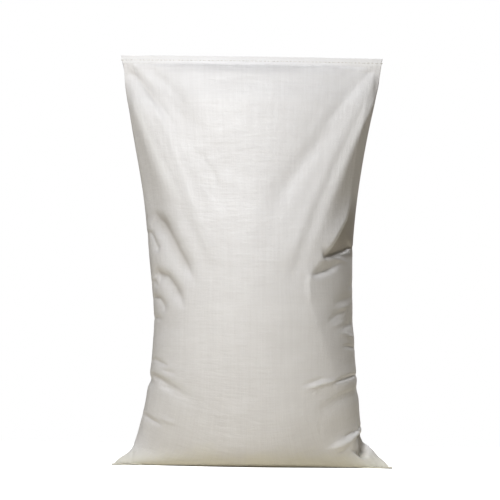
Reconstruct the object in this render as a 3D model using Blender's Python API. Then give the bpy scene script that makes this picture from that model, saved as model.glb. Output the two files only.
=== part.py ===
"""A filled fertilizer sack of woven polypropylene, standing on its sewn bottom.

The sack is a flat woven tube, 550 mm wide when it lies flat. Both of its ends are folded and sewn
shut with a chain stitch. The granules inside push the middle out into a round belly, which draws
the sides in, while the two sewn ends keep their width and stand out as corners. Long folds run from
the top corners down to the belly, and the filled foot flows out into thin empty corners at the floor.

Metres, +Z up. X runs across the sack and -Y is its front. The origin is on the floor under the
middle of the sack.
"""

import math

import bmesh
import bpy

# The sack as it lies flat
FLAT_WIDTH = 0.550
HALF_FLAT = FLAT_WIDTH / 2

# The sack as it stands
HEIGHT = 0.811
LEAN = 0.014  # metres to the left for each metre of height
WAIST_LEFT = 0.194
WAIST_RIGHT = 0.200
BELLY_DEPTH = 0.155  # from the side folds to the front, and to the back
PANELS_HALF_THICKNESS = 0.0008  # where the front and the back lie on each other
EDGE_SHARPNESS = 6  # how late that thickness runs out at the side folds

# The top hem, where the mouth is folded over once and sewn
TOP_HEM = 0.017
TOP_HEM_HALF_THICKNESS = 0.0012
TOP_STITCH_DROP = 0.009
TOP_EDGE_HALF_WIDTH = 0.259
TOP_BOW = 0.030  # the middle of the hem stands this far in front of its ends
TOP_BOW_FADE = 0.30

# The bottom hem, folded forward and pressed flat on the floor
BOTTOM_HEM = 0.022
BOTTOM_HEM_THICKNESS = 0.0026
EAR_FORWARD = 0.035  # the corners of the bottom seam swing this far forward
EAR_HEIGHT = 0.070
EAR_SWING = 4  # how suddenly they do so towards their tips

# The sewing thread
THREAD_RADIUS = 0.0006
THREAD_SIDES = 2  # the bevel resolution, which gives eight sides
GAP = 0.0003
GROOVE_HALF_WIDTH = THREAD_RADIUS + 0.0005
GROOVE_DEPTH = 2 * THREAD_RADIUS + 2 * GAP
GROOVE_OVERRUN = 0.010  # the cutter reaches this far past the sack
THREAD_EAR_RUN = 0.022

# Mesh density
FRONT_COLUMNS = 36
HEM_STATIONS = 28

# Height, and the distance from the leaning centre line to the left and the right side fold
SIDE_FOLDS = (
    (0.000, HALF_FLAT, HALF_FLAT),
    (0.013, 0.264, 0.262),
    (0.028, 0.240, 0.247),
    (0.050, 0.231, 0.230),
    (0.072, 0.2245, 0.2175),
    (0.130, 0.2095, 0.2110),
    (0.210, 0.1980, 0.2045),
    (0.300, WAIST_LEFT, WAIST_RIGHT),
    (0.410, 0.2035, WAIST_RIGHT),
    (0.530, 0.2155, 0.2095),
    (0.650, 0.2355, 0.2285),
    (0.760, 0.2540, 0.2520),
    (HEIGHT, TOP_EDGE_HALF_WIDTH, TOP_EDGE_HALF_WIDTH),
)

# Height, half depth, and how blunt the sides of the section are: 0.5 is an ellipse, 1 a lens, 1.5 thin corners
BELLY = (
    (0.000, 0.098, 1.50),
    (0.008, 0.113, 1.42),
    (0.020, 0.125, 1.20),
    (0.035, 0.133, 1.00),
    (0.055, 0.139, 0.82),
    (0.085, 0.145, 0.67),
    (0.125, 0.150, 0.57),
    (0.220, BELLY_DEPTH, 0.50),
    (0.320, 0.152, 0.50),
    (0.420, 0.139, 0.50),
    (0.500, 0.121, 0.50),
    (0.550, 0.106, 0.50),
    (0.600, 0.090, 0.48),
    (0.650, 0.073, 0.45),
    (0.700, 0.056, 0.41),
    (0.740, 0.041, 0.38),
    (0.770, 0.028, 0.38),
    (0.785, 0.018, 0.40),
    (HEIGHT - TOP_HEM, 0.0, 0.45),
    (HEIGHT, 0.0, 0.45),
)

# The long folds from both top corners. Height, then the place from the middle (0) to the side fold (1)
# and the lift of the ridge, then the place and the drop of the valley inside it
LONG_FOLDS = (
    (0.380, 0.24, 0.0, 0.02, 0.0),
    (0.450, 0.37, 0.0045, 0.06, 0.0015),
    (0.550, 0.55, 0.0080, 0.22, 0.0050),
    (0.650, 0.74, 0.0085, 0.53, 0.0070),
    (0.720, 0.87, 0.0060, 0.75, 0.0060),
    (0.770, 0.95, 0.0030, 0.91, 0.0025),
    (HEIGHT - TOP_HEM, 1.00, 0.0, 1.00, 0.0),
)
RIDGE_REACH = 0.030  # metres across, to where a fold has lost most of its height
VALLEY_REACH = 0.026

ROW_HEIGHTS = (
    0.0, 0.0012, 0.004, 0.008, 0.013, 0.019, 0.026, 0.034, 0.044, 0.056, 0.070,
    0.086, 0.104, 0.126, 0.150, 0.178, 0.208, 0.240, 0.274, 0.308, 0.342, 0.376,
    0.410, 0.444, 0.478, 0.512, 0.546, 0.580, 0.612, 0.642, 0.670, 0.696, 0.720,
    0.742, 0.760, 0.775, 0.786, HEIGHT - TOP_HEM - 0.001, HEIGHT - TOP_HEM, HEIGHT,
)

WOVEN_COLOUR = (0.80, 0.79, 0.76, 1.0)
THREAD_COLOUR = (0.86, 0.85, 0.82, 1.0)


def clear_scene():
    """Removes whatever the startup file holds."""
    for obj in list(bpy.data.objects):
        bpy.data.objects.remove(obj)


def between(stations, height, column):
    """The smooth curve through one column of a table of stations, read at a height."""
    last = len(stations) - 1
    index = 0
    while index < last - 1 and height > stations[index + 1][0]:
        index += 1

    def slope(i):
        low, high = stations[max(i - 1, 0)], stations[min(i + 1, last)]
        return (high[column] - low[column]) / (high[0] - low[0])

    start, end = stations[index], stations[index + 1]
    span = end[0] - start[0]
    t = min(max((height - start[0]) / span, 0.0), 1.0)
    rise = t * t * (3 - 2 * t)
    return (
        start[column] * (1 - rise)
        + end[column] * rise
        + slope(index) * span * t * (1 - t) ** 2
        - slope(index + 1) * span * t * t * (1 - t)
    )


def ease(value):
    """Goes smoothly from 0 to 1 as value does."""
    t = min(max(value, 0.0), 1.0)
    return t * t * (3 - 2 * t)


def middle(x, height):
    """How far behind the XZ plane the middle of the sack lies: the bow of the hem and the swing of the ears."""
    along = min(abs(x) / TOP_EDGE_HALF_WIDTH, 1.0)
    bow = TOP_BOW * (0.5 - math.cos(math.pi / 2 * along))
    bow *= ease((height - (HEIGHT - TOP_BOW_FADE)) / (TOP_BOW_FADE - TOP_HEM))
    swing = EAR_FORWARD * (abs(x) / HALF_FLAT) ** EAR_SWING * (1 - ease(height / EAR_HEIGHT))
    return bow - swing


def long_folds(x, height, edge):
    """How far the long folds lift the cloth at a place in the front view. Edge is where the side fold lies."""
    if not LONG_FOLDS[0][0] < height < LONG_FOLDS[-1][0]:
        return 0.0
    ridge, lift, valley, drop = (between(LONG_FOLDS, height, column) for column in range(1, 5))
    raised = lift * math.exp(-(((abs(x) - ridge * edge) / RIDGE_REACH) ** 2))
    sunk = drop * math.exp(-(((abs(x) - valley * edge) / VALLEY_REACH) ** 2))
    return raised - sunk


def half_depth(x, height):
    """Half the sack's thickness at a place in its front view."""
    edge = between(SIDE_FOLDS, height, 1 if x < 0 else 2)
    across = min(abs(x) / edge, 1.0)
    depth = max(between(BELLY, height, 1), 0.0)
    section = (1 - across**2) ** between(BELLY, height, 2)
    folds = long_folds(x, height, edge) * min(2 * section, 1.0)
    body = max(depth * section + folds, 0.0)
    flat = PANELS_HALF_THICKNESS
    if height >= HEIGHT - TOP_HEM:
        flat = TOP_HEM_HALF_THICKNESS
    return math.hypot(body, flat * (1 - across**EDGE_SHARPNESS))


def column_positions():
    """Places across the front from -1 to 1, closer together towards the side folds."""
    half = FRONT_COLUMNS // 2
    return [math.sin(math.pi / 2 * step / half) for step in range(-half, half + 1)]


def sack_ring(height):
    """Points round the sack at one height, from the left side fold along the front and back along the rear."""
    left = between(SIDE_FOLDS, height, 1)
    right = between(SIDE_FOLDS, height, 2)
    across = [(left if t < 0 else right) * t for t in column_positions()]
    shift = -LEAN * height
    front = [(x + shift, middle(x, height) - half_depth(x, height), height) for x in across]
    back = [(x + shift, middle(x, height) + half_depth(x, height), height) for x in across]
    return front + back[-2:0:-1]


def new_object(name, mesh, material):
    """Puts a mesh or curve into the scene under its name, with its material."""
    obj = bpy.data.objects.new(name, mesh)
    bpy.context.scene.collection.objects.link(obj)
    obj.data.materials.append(material)
    return obj


def finish(name, colour, roughness):
    """A plain material for one kind of piece."""
    material = bpy.data.materials.new(name)
    material.use_nodes = True
    shader = material.node_tree.nodes["Principled BSDF"]
    shader.inputs["Base Color"].default_value = colour
    shader.inputs["Roughness"].default_value = roughness
    shader.inputs["Metallic"].default_value = 0.0
    return material


def loft(name, rings):
    """A closed mesh through rings of equally many points, with a flat face at each end."""
    shape = bmesh.new()
    loops = [[shape.verts.new(point) for point in ring] for ring in rings]
    count = len(loops[0])
    for low, high in zip(loops, loops[1:]):
        for i in range(count):
            j = (i + 1) % count
            shape.faces.new((low[i], low[j], high[j], high[i]))
    shape.faces.new(loops[0][::-1])
    shape.faces.new(loops[-1])
    bmesh.ops.recalc_face_normals(shape, faces=shape.faces)
    mesh = bpy.data.meshes.new(name)
    shape.to_mesh(mesh)
    shape.free()
    return mesh


def seam_places(reach, count=HEM_STATIONS):
    """Evenly spaced places across the sack, from -reach to reach."""
    return [reach * (2 * step / count - 1) for step in range(count + 1)]


def strip_along_seam(name, reach, front, back, low, high):
    """A flat strip that follows the bottom seam, between two distances in front of it and two heights."""
    rings = []
    for x in seam_places(reach):
        seam = middle(x, 0.0)
        rings.append(
            [
                (x, seam - front, low),
                (x, seam - back, low),
                (x, seam - back, high),
                (x, seam - front, high),
            ]
        )
    return loft(name, rings)


def helper(name, mesh, material):
    """An object that only joins or cuts another."""
    obj = new_object(name, mesh, material)
    obj.hide_render = True
    obj.display_type = "WIRE"
    return obj


def boolean(obj, other, operation):
    """Joins the other object to this one or cuts it away."""
    modifier = obj.modifiers.new(other.name, "BOOLEAN")
    modifier.operation = operation
    modifier.object = other
    modifier.solver = "EXACT"


def make_sack(material):
    """The woven sack with its filling, and the bottom hem that lies on the floor in front of the seam."""
    sack = new_object("woven_sack", loft("woven_sack", [sack_ring(z) for z in ROW_HEIGHTS]), material)
    hem = helper(
        "bottom_hem_strip",
        strip_along_seam("bottom_hem_strip", HALF_FLAT, BOTTOM_HEM, 0.0, 0.0, BOTTOM_HEM_THICKNESS),
        material,
    )
    stitch = BOTTOM_HEM / 2
    groove = helper(
        "thread_groove",
        strip_along_seam(
            "thread_groove",
            HALF_FLAT + GROOVE_OVERRUN,
            stitch + GROOVE_HALF_WIDTH,
            stitch - GROOVE_HALF_WIDTH,
            -GROOVE_OVERRUN,
            GROOVE_DEPTH,
        ),
        material,
    )
    boolean(sack, hem, "UNION")
    boolean(sack, groove, "DIFFERENCE")
    return sack


def thread(name, points, material, closed):
    """A run of sewing thread through its points."""
    curve = bpy.data.curves.new(name, "CURVE")
    curve.dimensions = "3D"
    curve.bevel_depth = THREAD_RADIUS
    curve.bevel_resolution = THREAD_SIDES
    curve.use_fill_caps = not closed
    spline = curve.splines.new("POLY")
    spline.points.add(len(points) - 1)
    for target, point in zip(spline.points, points):
        target.co = (*point, 1.0)
    spline.use_cyclic_u = closed
    return new_object(name, curve, material)


def make_top_thread(material):
    """The closing stitch: a loop of thread round the hem, on its front and its back."""
    away = TOP_HEM_HALF_THICKNESS + GAP + THREAD_RADIUS
    reach = TOP_EDGE_HALF_WIDTH + GAP + THREAD_RADIUS
    across = [TOP_EDGE_HALF_WIDTH * t for t in column_positions()][1:-1]

    stitch = HEIGHT - TOP_STITCH_DROP
    shift = -LEAN * stitch

    def run(side):
        return [(x + shift, middle(x, stitch) + side * away, stitch) for x in across]

    def end(x):
        return (x + shift, middle(x, stitch), stitch)

    points = [end(-reach), *run(-1), end(reach), *run(1)[::-1]]
    return thread("top_seam_thread", points, material, closed=True)


def make_bottom_thread(material):
    """The bottom stitch: it lies in the underside of the hem and comes round its ends onto the ears."""
    stitch = BOTTOM_HEM / 2
    low = GAP + THREAD_RADIUS
    high = BOTTOM_HEM_THICKNESS + GAP + THREAD_RADIUS
    reach = HALF_FLAT + GAP + THREAD_RADIUS
    ear_end = HALF_FLAT - THREAD_EAR_RUN

    def at(x, z):
        return (x, middle(x, 0.0) - stitch, z)

    under = [at(x, low) for x in seam_places(HALF_FLAT)[1:-1]]
    left = [at(-ear_end, high), at(-reach, high), at(-reach, low)]
    right = [at(reach, low), at(reach, high), at(ear_end, high)]
    points = [*left, *under, *right]
    return thread("bottom_seam_thread", points, material, closed=False)


def main():
    """Builds the sack and its two seams."""
    clear_scene()
    woven = finish("woven_polypropylene", WOVEN_COLOUR, 0.45)
    sewing = finish("sewing_thread", THREAD_COLOUR, 0.70)
    make_sack(woven)
    make_top_thread(sewing)
    make_bottom_thread(sewing)


main()
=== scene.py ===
"""A filled fertilizer sack of woven polypropylene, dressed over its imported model.

The sack is a flat woven tube whose two ends are folded and sewn shut. Its cloth is simulated here as
what it is: a sheet that can fold but hardly stretch, pushed out by the granules and held at its two
sewn ends. That gives the long folds from the top corners, the puckers at the sides and the flat
corners at the floor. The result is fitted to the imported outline, creased where the photo shows it,
and dressed with the weave of its flat tapes.
"""

import logging
import math
from dataclasses import dataclass, field
from enum import Enum
from typing import Any, Optional, Sequence

import bmesh
import bpy
import numpy as np
from mathutils import Matrix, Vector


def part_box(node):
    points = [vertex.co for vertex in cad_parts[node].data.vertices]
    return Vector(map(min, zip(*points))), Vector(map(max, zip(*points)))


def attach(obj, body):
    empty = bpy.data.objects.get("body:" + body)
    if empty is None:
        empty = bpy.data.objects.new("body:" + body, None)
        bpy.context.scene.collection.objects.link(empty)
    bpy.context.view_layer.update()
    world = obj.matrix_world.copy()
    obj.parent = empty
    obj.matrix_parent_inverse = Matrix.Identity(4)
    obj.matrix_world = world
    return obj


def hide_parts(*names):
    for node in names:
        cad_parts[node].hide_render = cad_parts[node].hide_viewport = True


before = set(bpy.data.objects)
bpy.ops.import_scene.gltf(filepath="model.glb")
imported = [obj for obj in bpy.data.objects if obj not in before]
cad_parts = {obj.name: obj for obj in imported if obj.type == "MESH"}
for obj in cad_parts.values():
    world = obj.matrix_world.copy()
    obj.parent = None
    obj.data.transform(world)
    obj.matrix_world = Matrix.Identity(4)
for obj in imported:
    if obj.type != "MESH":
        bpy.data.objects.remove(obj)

Grid = np.ndarray
Span = tuple[float, float]
Point2 = tuple[float, float]
Point3 = tuple[float, float, float]
Colour = tuple[float, float, float, float]
Socket = bpy.types.NodeSocket

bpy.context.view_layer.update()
BODY = "root"
SACK_NODE = "woven_sack"
TOP_THREAD_NODE = "top_seam_thread"
BOTTOM_THREAD_NODE = "bottom_seam_thread"
CLOTH_MAP = "cloth"
# Point attribute for the finish: above 0 where wear whitens crease ridges, below 0 for painted shade in
# valleys and the pocket
WEAR_AND_SHADE_MASK = "crease"
LAYER_MASK = "layers"

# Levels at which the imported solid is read, closer together at the foot
CUTS = 160
CUT_CROWDING = 1.4
FIRST_CUT = 0.0031
LAST_CUT = 0.9995
PLACES_ACROSS = 61
THINNEST = 1e-4

# How near points are averaged into a level's middle line: a share of its half chord, and the least
LINE_REACH = 0.1
LINE_LEAST = 0.0015

# The section of a crease: its width at its ends, and how its sharp line and its flanks run out
CREASE_END_WIDTH = 0.55
CREASE_SHARPNESS = 2.2
CREASE_REACH = 3.2
CREASE_RUN_OUT = 1.2

# The weave and the dust, as their groups have them before a finish sets its own
TAPES_PER_METRE = 385.0
TAPE_DIP = 0.55
TONE_SEED = 17.0
DUST_HEIGHT = 0.06
DUST_AMOUNT = 0.5
DUST_UNEVENNESS = 1.2

log = logging.getLogger("fertilizer_bag")


class CreaseKind(Enum):
    """What a crease does to the cloth: a valley goes in, a ridge comes out, and a pinch does both."""

    VALLEY = -1
    RIDGE = 1
    PINCH = 2


class StitchKind(Enum):
    """The two faces of a chain stitch: plain dashes on one side of the cloth, linked loops on the other."""

    DASH = "dash"
    LOOP = "loop"


def smooth(value: Grid | float, low: float, high: float) -> Grid:
    """Goes smoothly from 0 at low to 1 at high."""
    t = np.clip((value - low) / (high - low), 0.0, 1.0)
    return t * t * (3.0 - 2.0 * t)


def unit(vectors: Grid) -> Grid:
    """The same directions with length one."""
    return vectors / (np.sqrt((vectors**2).sum(-1, keepdims=True)) + 1e-12)


def turned_to(place: Grid, right: Grid, up: Grid, forward: Grid) -> Matrix:
    """Where a camera or a lamp stands that looks forward.

    Args:
        place: its place.
        right: the direction to its right.
        up: its upward direction.
        forward: where it looks.

    Returns:
        Its matrix.
    """
    turn = Matrix(np.stack([right, up, -forward], axis=1).tolist()).to_4x4()
    return Matrix.Translation(place.tolist()) @ turn


def cubic_weights(places: Grid, count: int, around: bool) -> tuple[Grid, Grid]:
    """Indices and weights that read a row of samples at places between them along a smooth curve.

    Args:
        places: where to read, in samples from the first one.
        count: how many samples there are.
        around: true where the last sample is followed by the first.

    Returns:
        Four indices and four weights for each place.
    """
    base = np.floor(places).astype(int)
    if not around:
        base = np.minimum(base, count - 2)
    f = places - base
    index = base[:, None] + np.arange(-1, 3)[None, :]
    index = index % count if around else np.clip(index, 0, count - 1)
    weights = np.stack(
        [
            0.5 * (-f + 2 * f**2 - f**3),
            0.5 * (2 - 5 * f**2 + 3 * f**3),
            0.5 * (f + 4 * f**2 - 3 * f**3),
            0.5 * (f**3 - f**2),
        ],
        axis=1,
    )
    return index, weights


@dataclass(frozen=True)
class PhotoView:
    """Where the camera stands, and where a point of the sack falls in the picture."""

    distance: float = 7.0
    height: float = 0.16
    aim: Point3 = (-0.0099, 0.0, 0.4272)
    roll: float = math.radians(0.8)
    span: float = 0.989
    pixels: int = 500
    sensor: float = 36.0

    def place(self) -> Grid:
        """The camera's own place."""
        return np.array([self.aim[0], self.aim[1] - self.distance, self.height])

    def axes(self) -> Grid:
        """Where the camera's own axes point.

        Returns:
            Its right, up and forward directions, one to a row.
        """
        forward = unit(np.array(self.aim) - self.place())
        right = unit(np.cross(forward, (0.0, 0.0, 1.0)))
        up = np.cross(right, forward)
        cos, sin = math.cos(self.roll), math.sin(self.roll)
        return np.array([right * cos + up * sin, up * cos - right * sin, forward])

    def reach(self) -> float:
        """How far the camera is from what it looks at."""
        return float(np.linalg.norm(np.array(self.aim) - self.place()))

    def to_pixels(self, points: Grid) -> Grid:
        """The pixels that points of the sack fall on.

        Args:
            points: places in metres, with x, y and z last.

        Returns:
            Pixels from the left and from the top of the picture.
        """
        seen = (points - self.place()) @ self.axes().T
        scale = self.pixels * self.reach() / (self.span * seen[..., 2])
        half = self.pixels / 2
        return np.stack([half + seen[..., 0] * scale, half - seen[..., 1] * scale], axis=-1)

    def make_camera(self) -> None:
        """Sets up the camera, turned as the picture is."""
        data = bpy.data.cameras.new("photo_camera")
        data.sensor_width = self.sensor
        data.lens = self.sensor * self.reach() / self.span
        data.clip_end = 100.0
        camera = bpy.data.objects.new("photo_camera", data)
        camera.matrix_world = turned_to(self.place(), *self.axes())
        bpy.context.scene.collection.objects.link(camera)
        bpy.context.scene.camera = camera


@dataclass(frozen=True)
class Table:
    """Values on an even grid, read smoothly between its points."""

    values: Grid
    first_range: Span
    second_range: Span

    def at(self, first: Grid, second: Grid) -> Grid:
        """Reads the table.

        Args:
            first: places along the table's rows.
            second: places along its columns.

        Returns:
            A value for each pair of places.
        """
        rows, columns = self.values.shape
        u, v = (
            np.clip((place - low) / (high - low), 0, 1) * (count - 1)
            for place, count, low, high in (
                (first, rows, *self.first_range),
                (second, columns, *self.second_range),
            )
        )
        i, j = np.minimum(u.astype(int), rows - 2), np.minimum(v.astype(int), columns - 2)
        u, v = u - i, v - j
        t = self.values
        near = t[i, j] * (1 - v) + t[i, j + 1] * v
        far = t[i + 1, j] * (1 - v) + t[i + 1, j + 1] * v
        return near * (1 - u) + far * u


@dataclass
class SackForm:
    """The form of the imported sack: its two side folds, and its section at each height.

    A place across the section is 0 in the middle and 1 at a side fold. The tables give the section's
    middle line and half depth there, and the section's reach by direction, where an ellipse has 1.
    """

    heights: Grid
    left: Grid
    right: Grid
    middles: Table
    depths: Table
    reach: Table
    lean: float
    height: float
    half_seam: float

    @classmethod
    def of_node(cls, name: str) -> "SackForm":
        """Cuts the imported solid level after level.

        Args:
            name: the node to cut.

        Returns:
            The form of that node.
        """
        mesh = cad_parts[name].data
        points = np.empty(len(mesh.vertices) * 3)
        mesh.vertices.foreach_get("co", points)
        points = points.reshape(-1, 3)
        edges = np.empty(len(mesh.edges) * 2, dtype=np.int32)
        mesh.edges.foreach_get("vertices", edges)
        low, high = points.min(axis=0), points.max(axis=0)
        heights = FIRST_CUT + (high[2] * LAST_CUT - FIRST_CUT) * np.linspace(0, 1, CUTS) ** CUT_CROWDING
        across = np.linspace(-1, 1, PLACES_ACROSS)
        rows = cls._levels(points[edges[0::2]], points[edges[1::2]], heights, across)
        rows = np.vstack([rows[:1] - (rows[1:2] - rows[:1]) * heights[0] / (heights[1] - heights[0]), rows])
        heights = np.concatenate([[0.0], heights])
        start, end = rows[:, 0], rows[:, 1]
        lean = -0.5 * (start[-1] + end[-1]) / heights[-1]
        centre = -lean * heights
        even = np.linspace(0, high[2], CUTS)
        middles, depths = (
            np.array([np.interp(even, heights, column) for column in half.T]).T
            for half in (rows[:, 2 : 2 + PLACES_ACROSS], rows[:, 2 + PLACES_ACROSS :])
        )
        return cls(
            heights=heights,
            left=centre - start,
            right=end - centre,
            middles=Table(middles, (0.0, high[2]), (-1.0, 1.0)),
            depths=Table(depths, (0.0, high[2]), (-1.0, 1.0)),
            reach=Table(cls._reach(depths, across), (0.0, high[2]), (0.0, math.pi)),
            lean=float(lean),
            height=float(high[2]),
            half_seam=float(high[0] - low[0]) / 2,
        )

    @classmethod
    def _levels(cls, a: Grid, b: Grid, heights: Grid, across: Grid) -> Grid:
        """Cuts the solid's edges at each height.

        Args:
            a: the first end of each edge.
            b: its other end.
            heights: where to cut.
            across: the places that are read at each height.

        Returns:
            One row to a height, as _section gives it.
        """
        rows = []
        for z in heights:
            cut = (a[:, 2] < z) != (b[:, 2] < z)
            t = ((z - a[cut, 2]) / (b[cut, 2] - a[cut, 2]))[:, None]
            rows.append(cls._section((a[cut] + (b[cut] - a[cut]) * t)[:, :2], across))
        return np.array(rows)

    @staticmethod
    def _reach(depths: Grid, across: Grid) -> Grid:
        """How far each section reaches by direction, where an ellipse has 1.

        Args:
            depths: the half depth at each height and place.
            across: the places.

        Returns:
            The reach at each height, at even directions from the left fold to the right one.
        """
        turns = np.linspace(0, math.pi, len(across))
        reach = []
        for row in depths / np.maximum(depths.max(axis=1, keepdims=True), THINNEST):
            turned = np.arctan2(row, -across)
            turned[0], turned[-1] = 0.0, math.pi
            order = np.argsort(turned)
            reach.append(np.interp(turns, turned[order], np.hypot(row, across)[order]))
        return np.array(reach)

    @staticmethod
    def _section(ring: Grid, across: Grid) -> Grid:
        """Reads one level of the solid.

        Args:
            ring: the points where its edges cross the level.
            across: the places that are read.

        Returns:
            Both side folds, then the middle line and then the half depth at each place.
        """
        ring = ring[ring[:, 0].argsort()]
        start, end = ring[0], ring[-1]
        centre, half = (start[0] + end[0]) / 2, (end[0] - start[0]) / 2
        near = LINE_REACH * np.sqrt(np.maximum(half**2 - (ring[:, 0] - centre) ** 2, 0)) + LINE_LEAST
        weight = np.exp(-(((ring[:, 0, None] - ring[None, :, 0]) / near[:, None]) ** 2))
        line = (weight @ ring[:, 1]) / weight.sum(axis=1)
        x = centre + half * across
        sides = []
        for side in (ring[:, 1] <= line, ring[:, 1] >= line):
            row = np.vstack([start, ring[side], end])
            sides.append(np.interp(x, row[:, 0], row[:, 1]))
        front, back = sides
        return np.concatenate([[start[0], end[0]], (front + back) / 2, np.maximum(back - front, 0) / 2])

    def half_width(self, z: Grid) -> Grid:
        """Half the width at a height, the same on both sides."""
        return np.interp(z, self.heights, (self.left + self.right) / 2)

    def seam(self, x: Grid) -> Grid:
        """How far back the bottom seam lies on the floor, at places across the sack."""
        return self.middles.at(np.zeros_like(x), x / self.half_seam)

    def deepest(self, z: Grid) -> Grid:
        """Half the greatest depth at a height."""
        values = self.depths.values
        heights = np.linspace(*self.depths.first_range, len(values))
        return np.interp(z, heights, np.maximum(values.max(axis=1), THINNEST))


@dataclass(frozen=True)
class SlackPatch:
    """A place where the cloth has more length than it needs, so that it puckers there."""

    across: float
    along: float
    reach_across: float
    reach_along: float
    extra: float


@dataclass(frozen=True)
class ClothSettings:
    """The sack's cloth, its filling and how finely both are followed.

    Lengths are in metres, and spans along the cloth run from 0 at the bottom seam to 1 at the top edge.
    """

    # How finely the cloth and the time are divided
    columns: int = 72
    rows: int = 124
    steps: int = 1800
    step_time: float = 1 / 500
    draw_steps: int = 300
    top_speed: float = 2.0
    # The cloth's true sizes
    length: float = 0.944
    side_length: float = 0.866
    half_top: float = 0.2593
    narrows_from: float = 0.6
    corner_draw: float = 0.05
    corner_from: float = 0.7
    # Where the sewn top edge stands
    hem_half_width: float = 0.259
    hem_bow: float = 0.03
    # The filling
    pressure: float = 5.0
    headroom: float = 0.03
    fill_height: float = 0.5
    weight: float = 0.15
    # How the cloth gives
    damping: float = 4.0
    shear: Span = (1e-5, 2e-6)
    shear_span: Span = (0.15, 0.5)
    bending: float = 2e-4
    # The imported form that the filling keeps
    shell: float = 0.3
    shell_ease: float = 0.001
    shell_fade: Span = (0.42, 0.60)
    foot_share: float = 0.095
    foot_blend: Span = (0.17, 0.40)
    own_form: Span = (0.42, 0.56)
    kept_fold: float = 0.38
    panel_gap: float = 0.002
    # The form that the simulation starts from
    start_levels: int = 160
    start_crowding: float = 1.5
    start_noise: float = 0.0015
    start_rounding: float = 0.7
    seed: int = 7
    slack: tuple[SlackPatch, ...] = (
        SlackPatch(-0.90, 0.42, 0.45, 0.05, 0.24),
        SlackPatch(0.85, 0.43, 0.45, 0.05, 0.24),
        SlackPatch(0.80, 0.25, 0.45, 0.03, 0.18),
        SlackPatch(-0.90, 0.27, 0.40, 0.03, 0.15),
        SlackPatch(0.90, 0.34, 0.35, 0.03, 0.15),
    )


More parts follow.
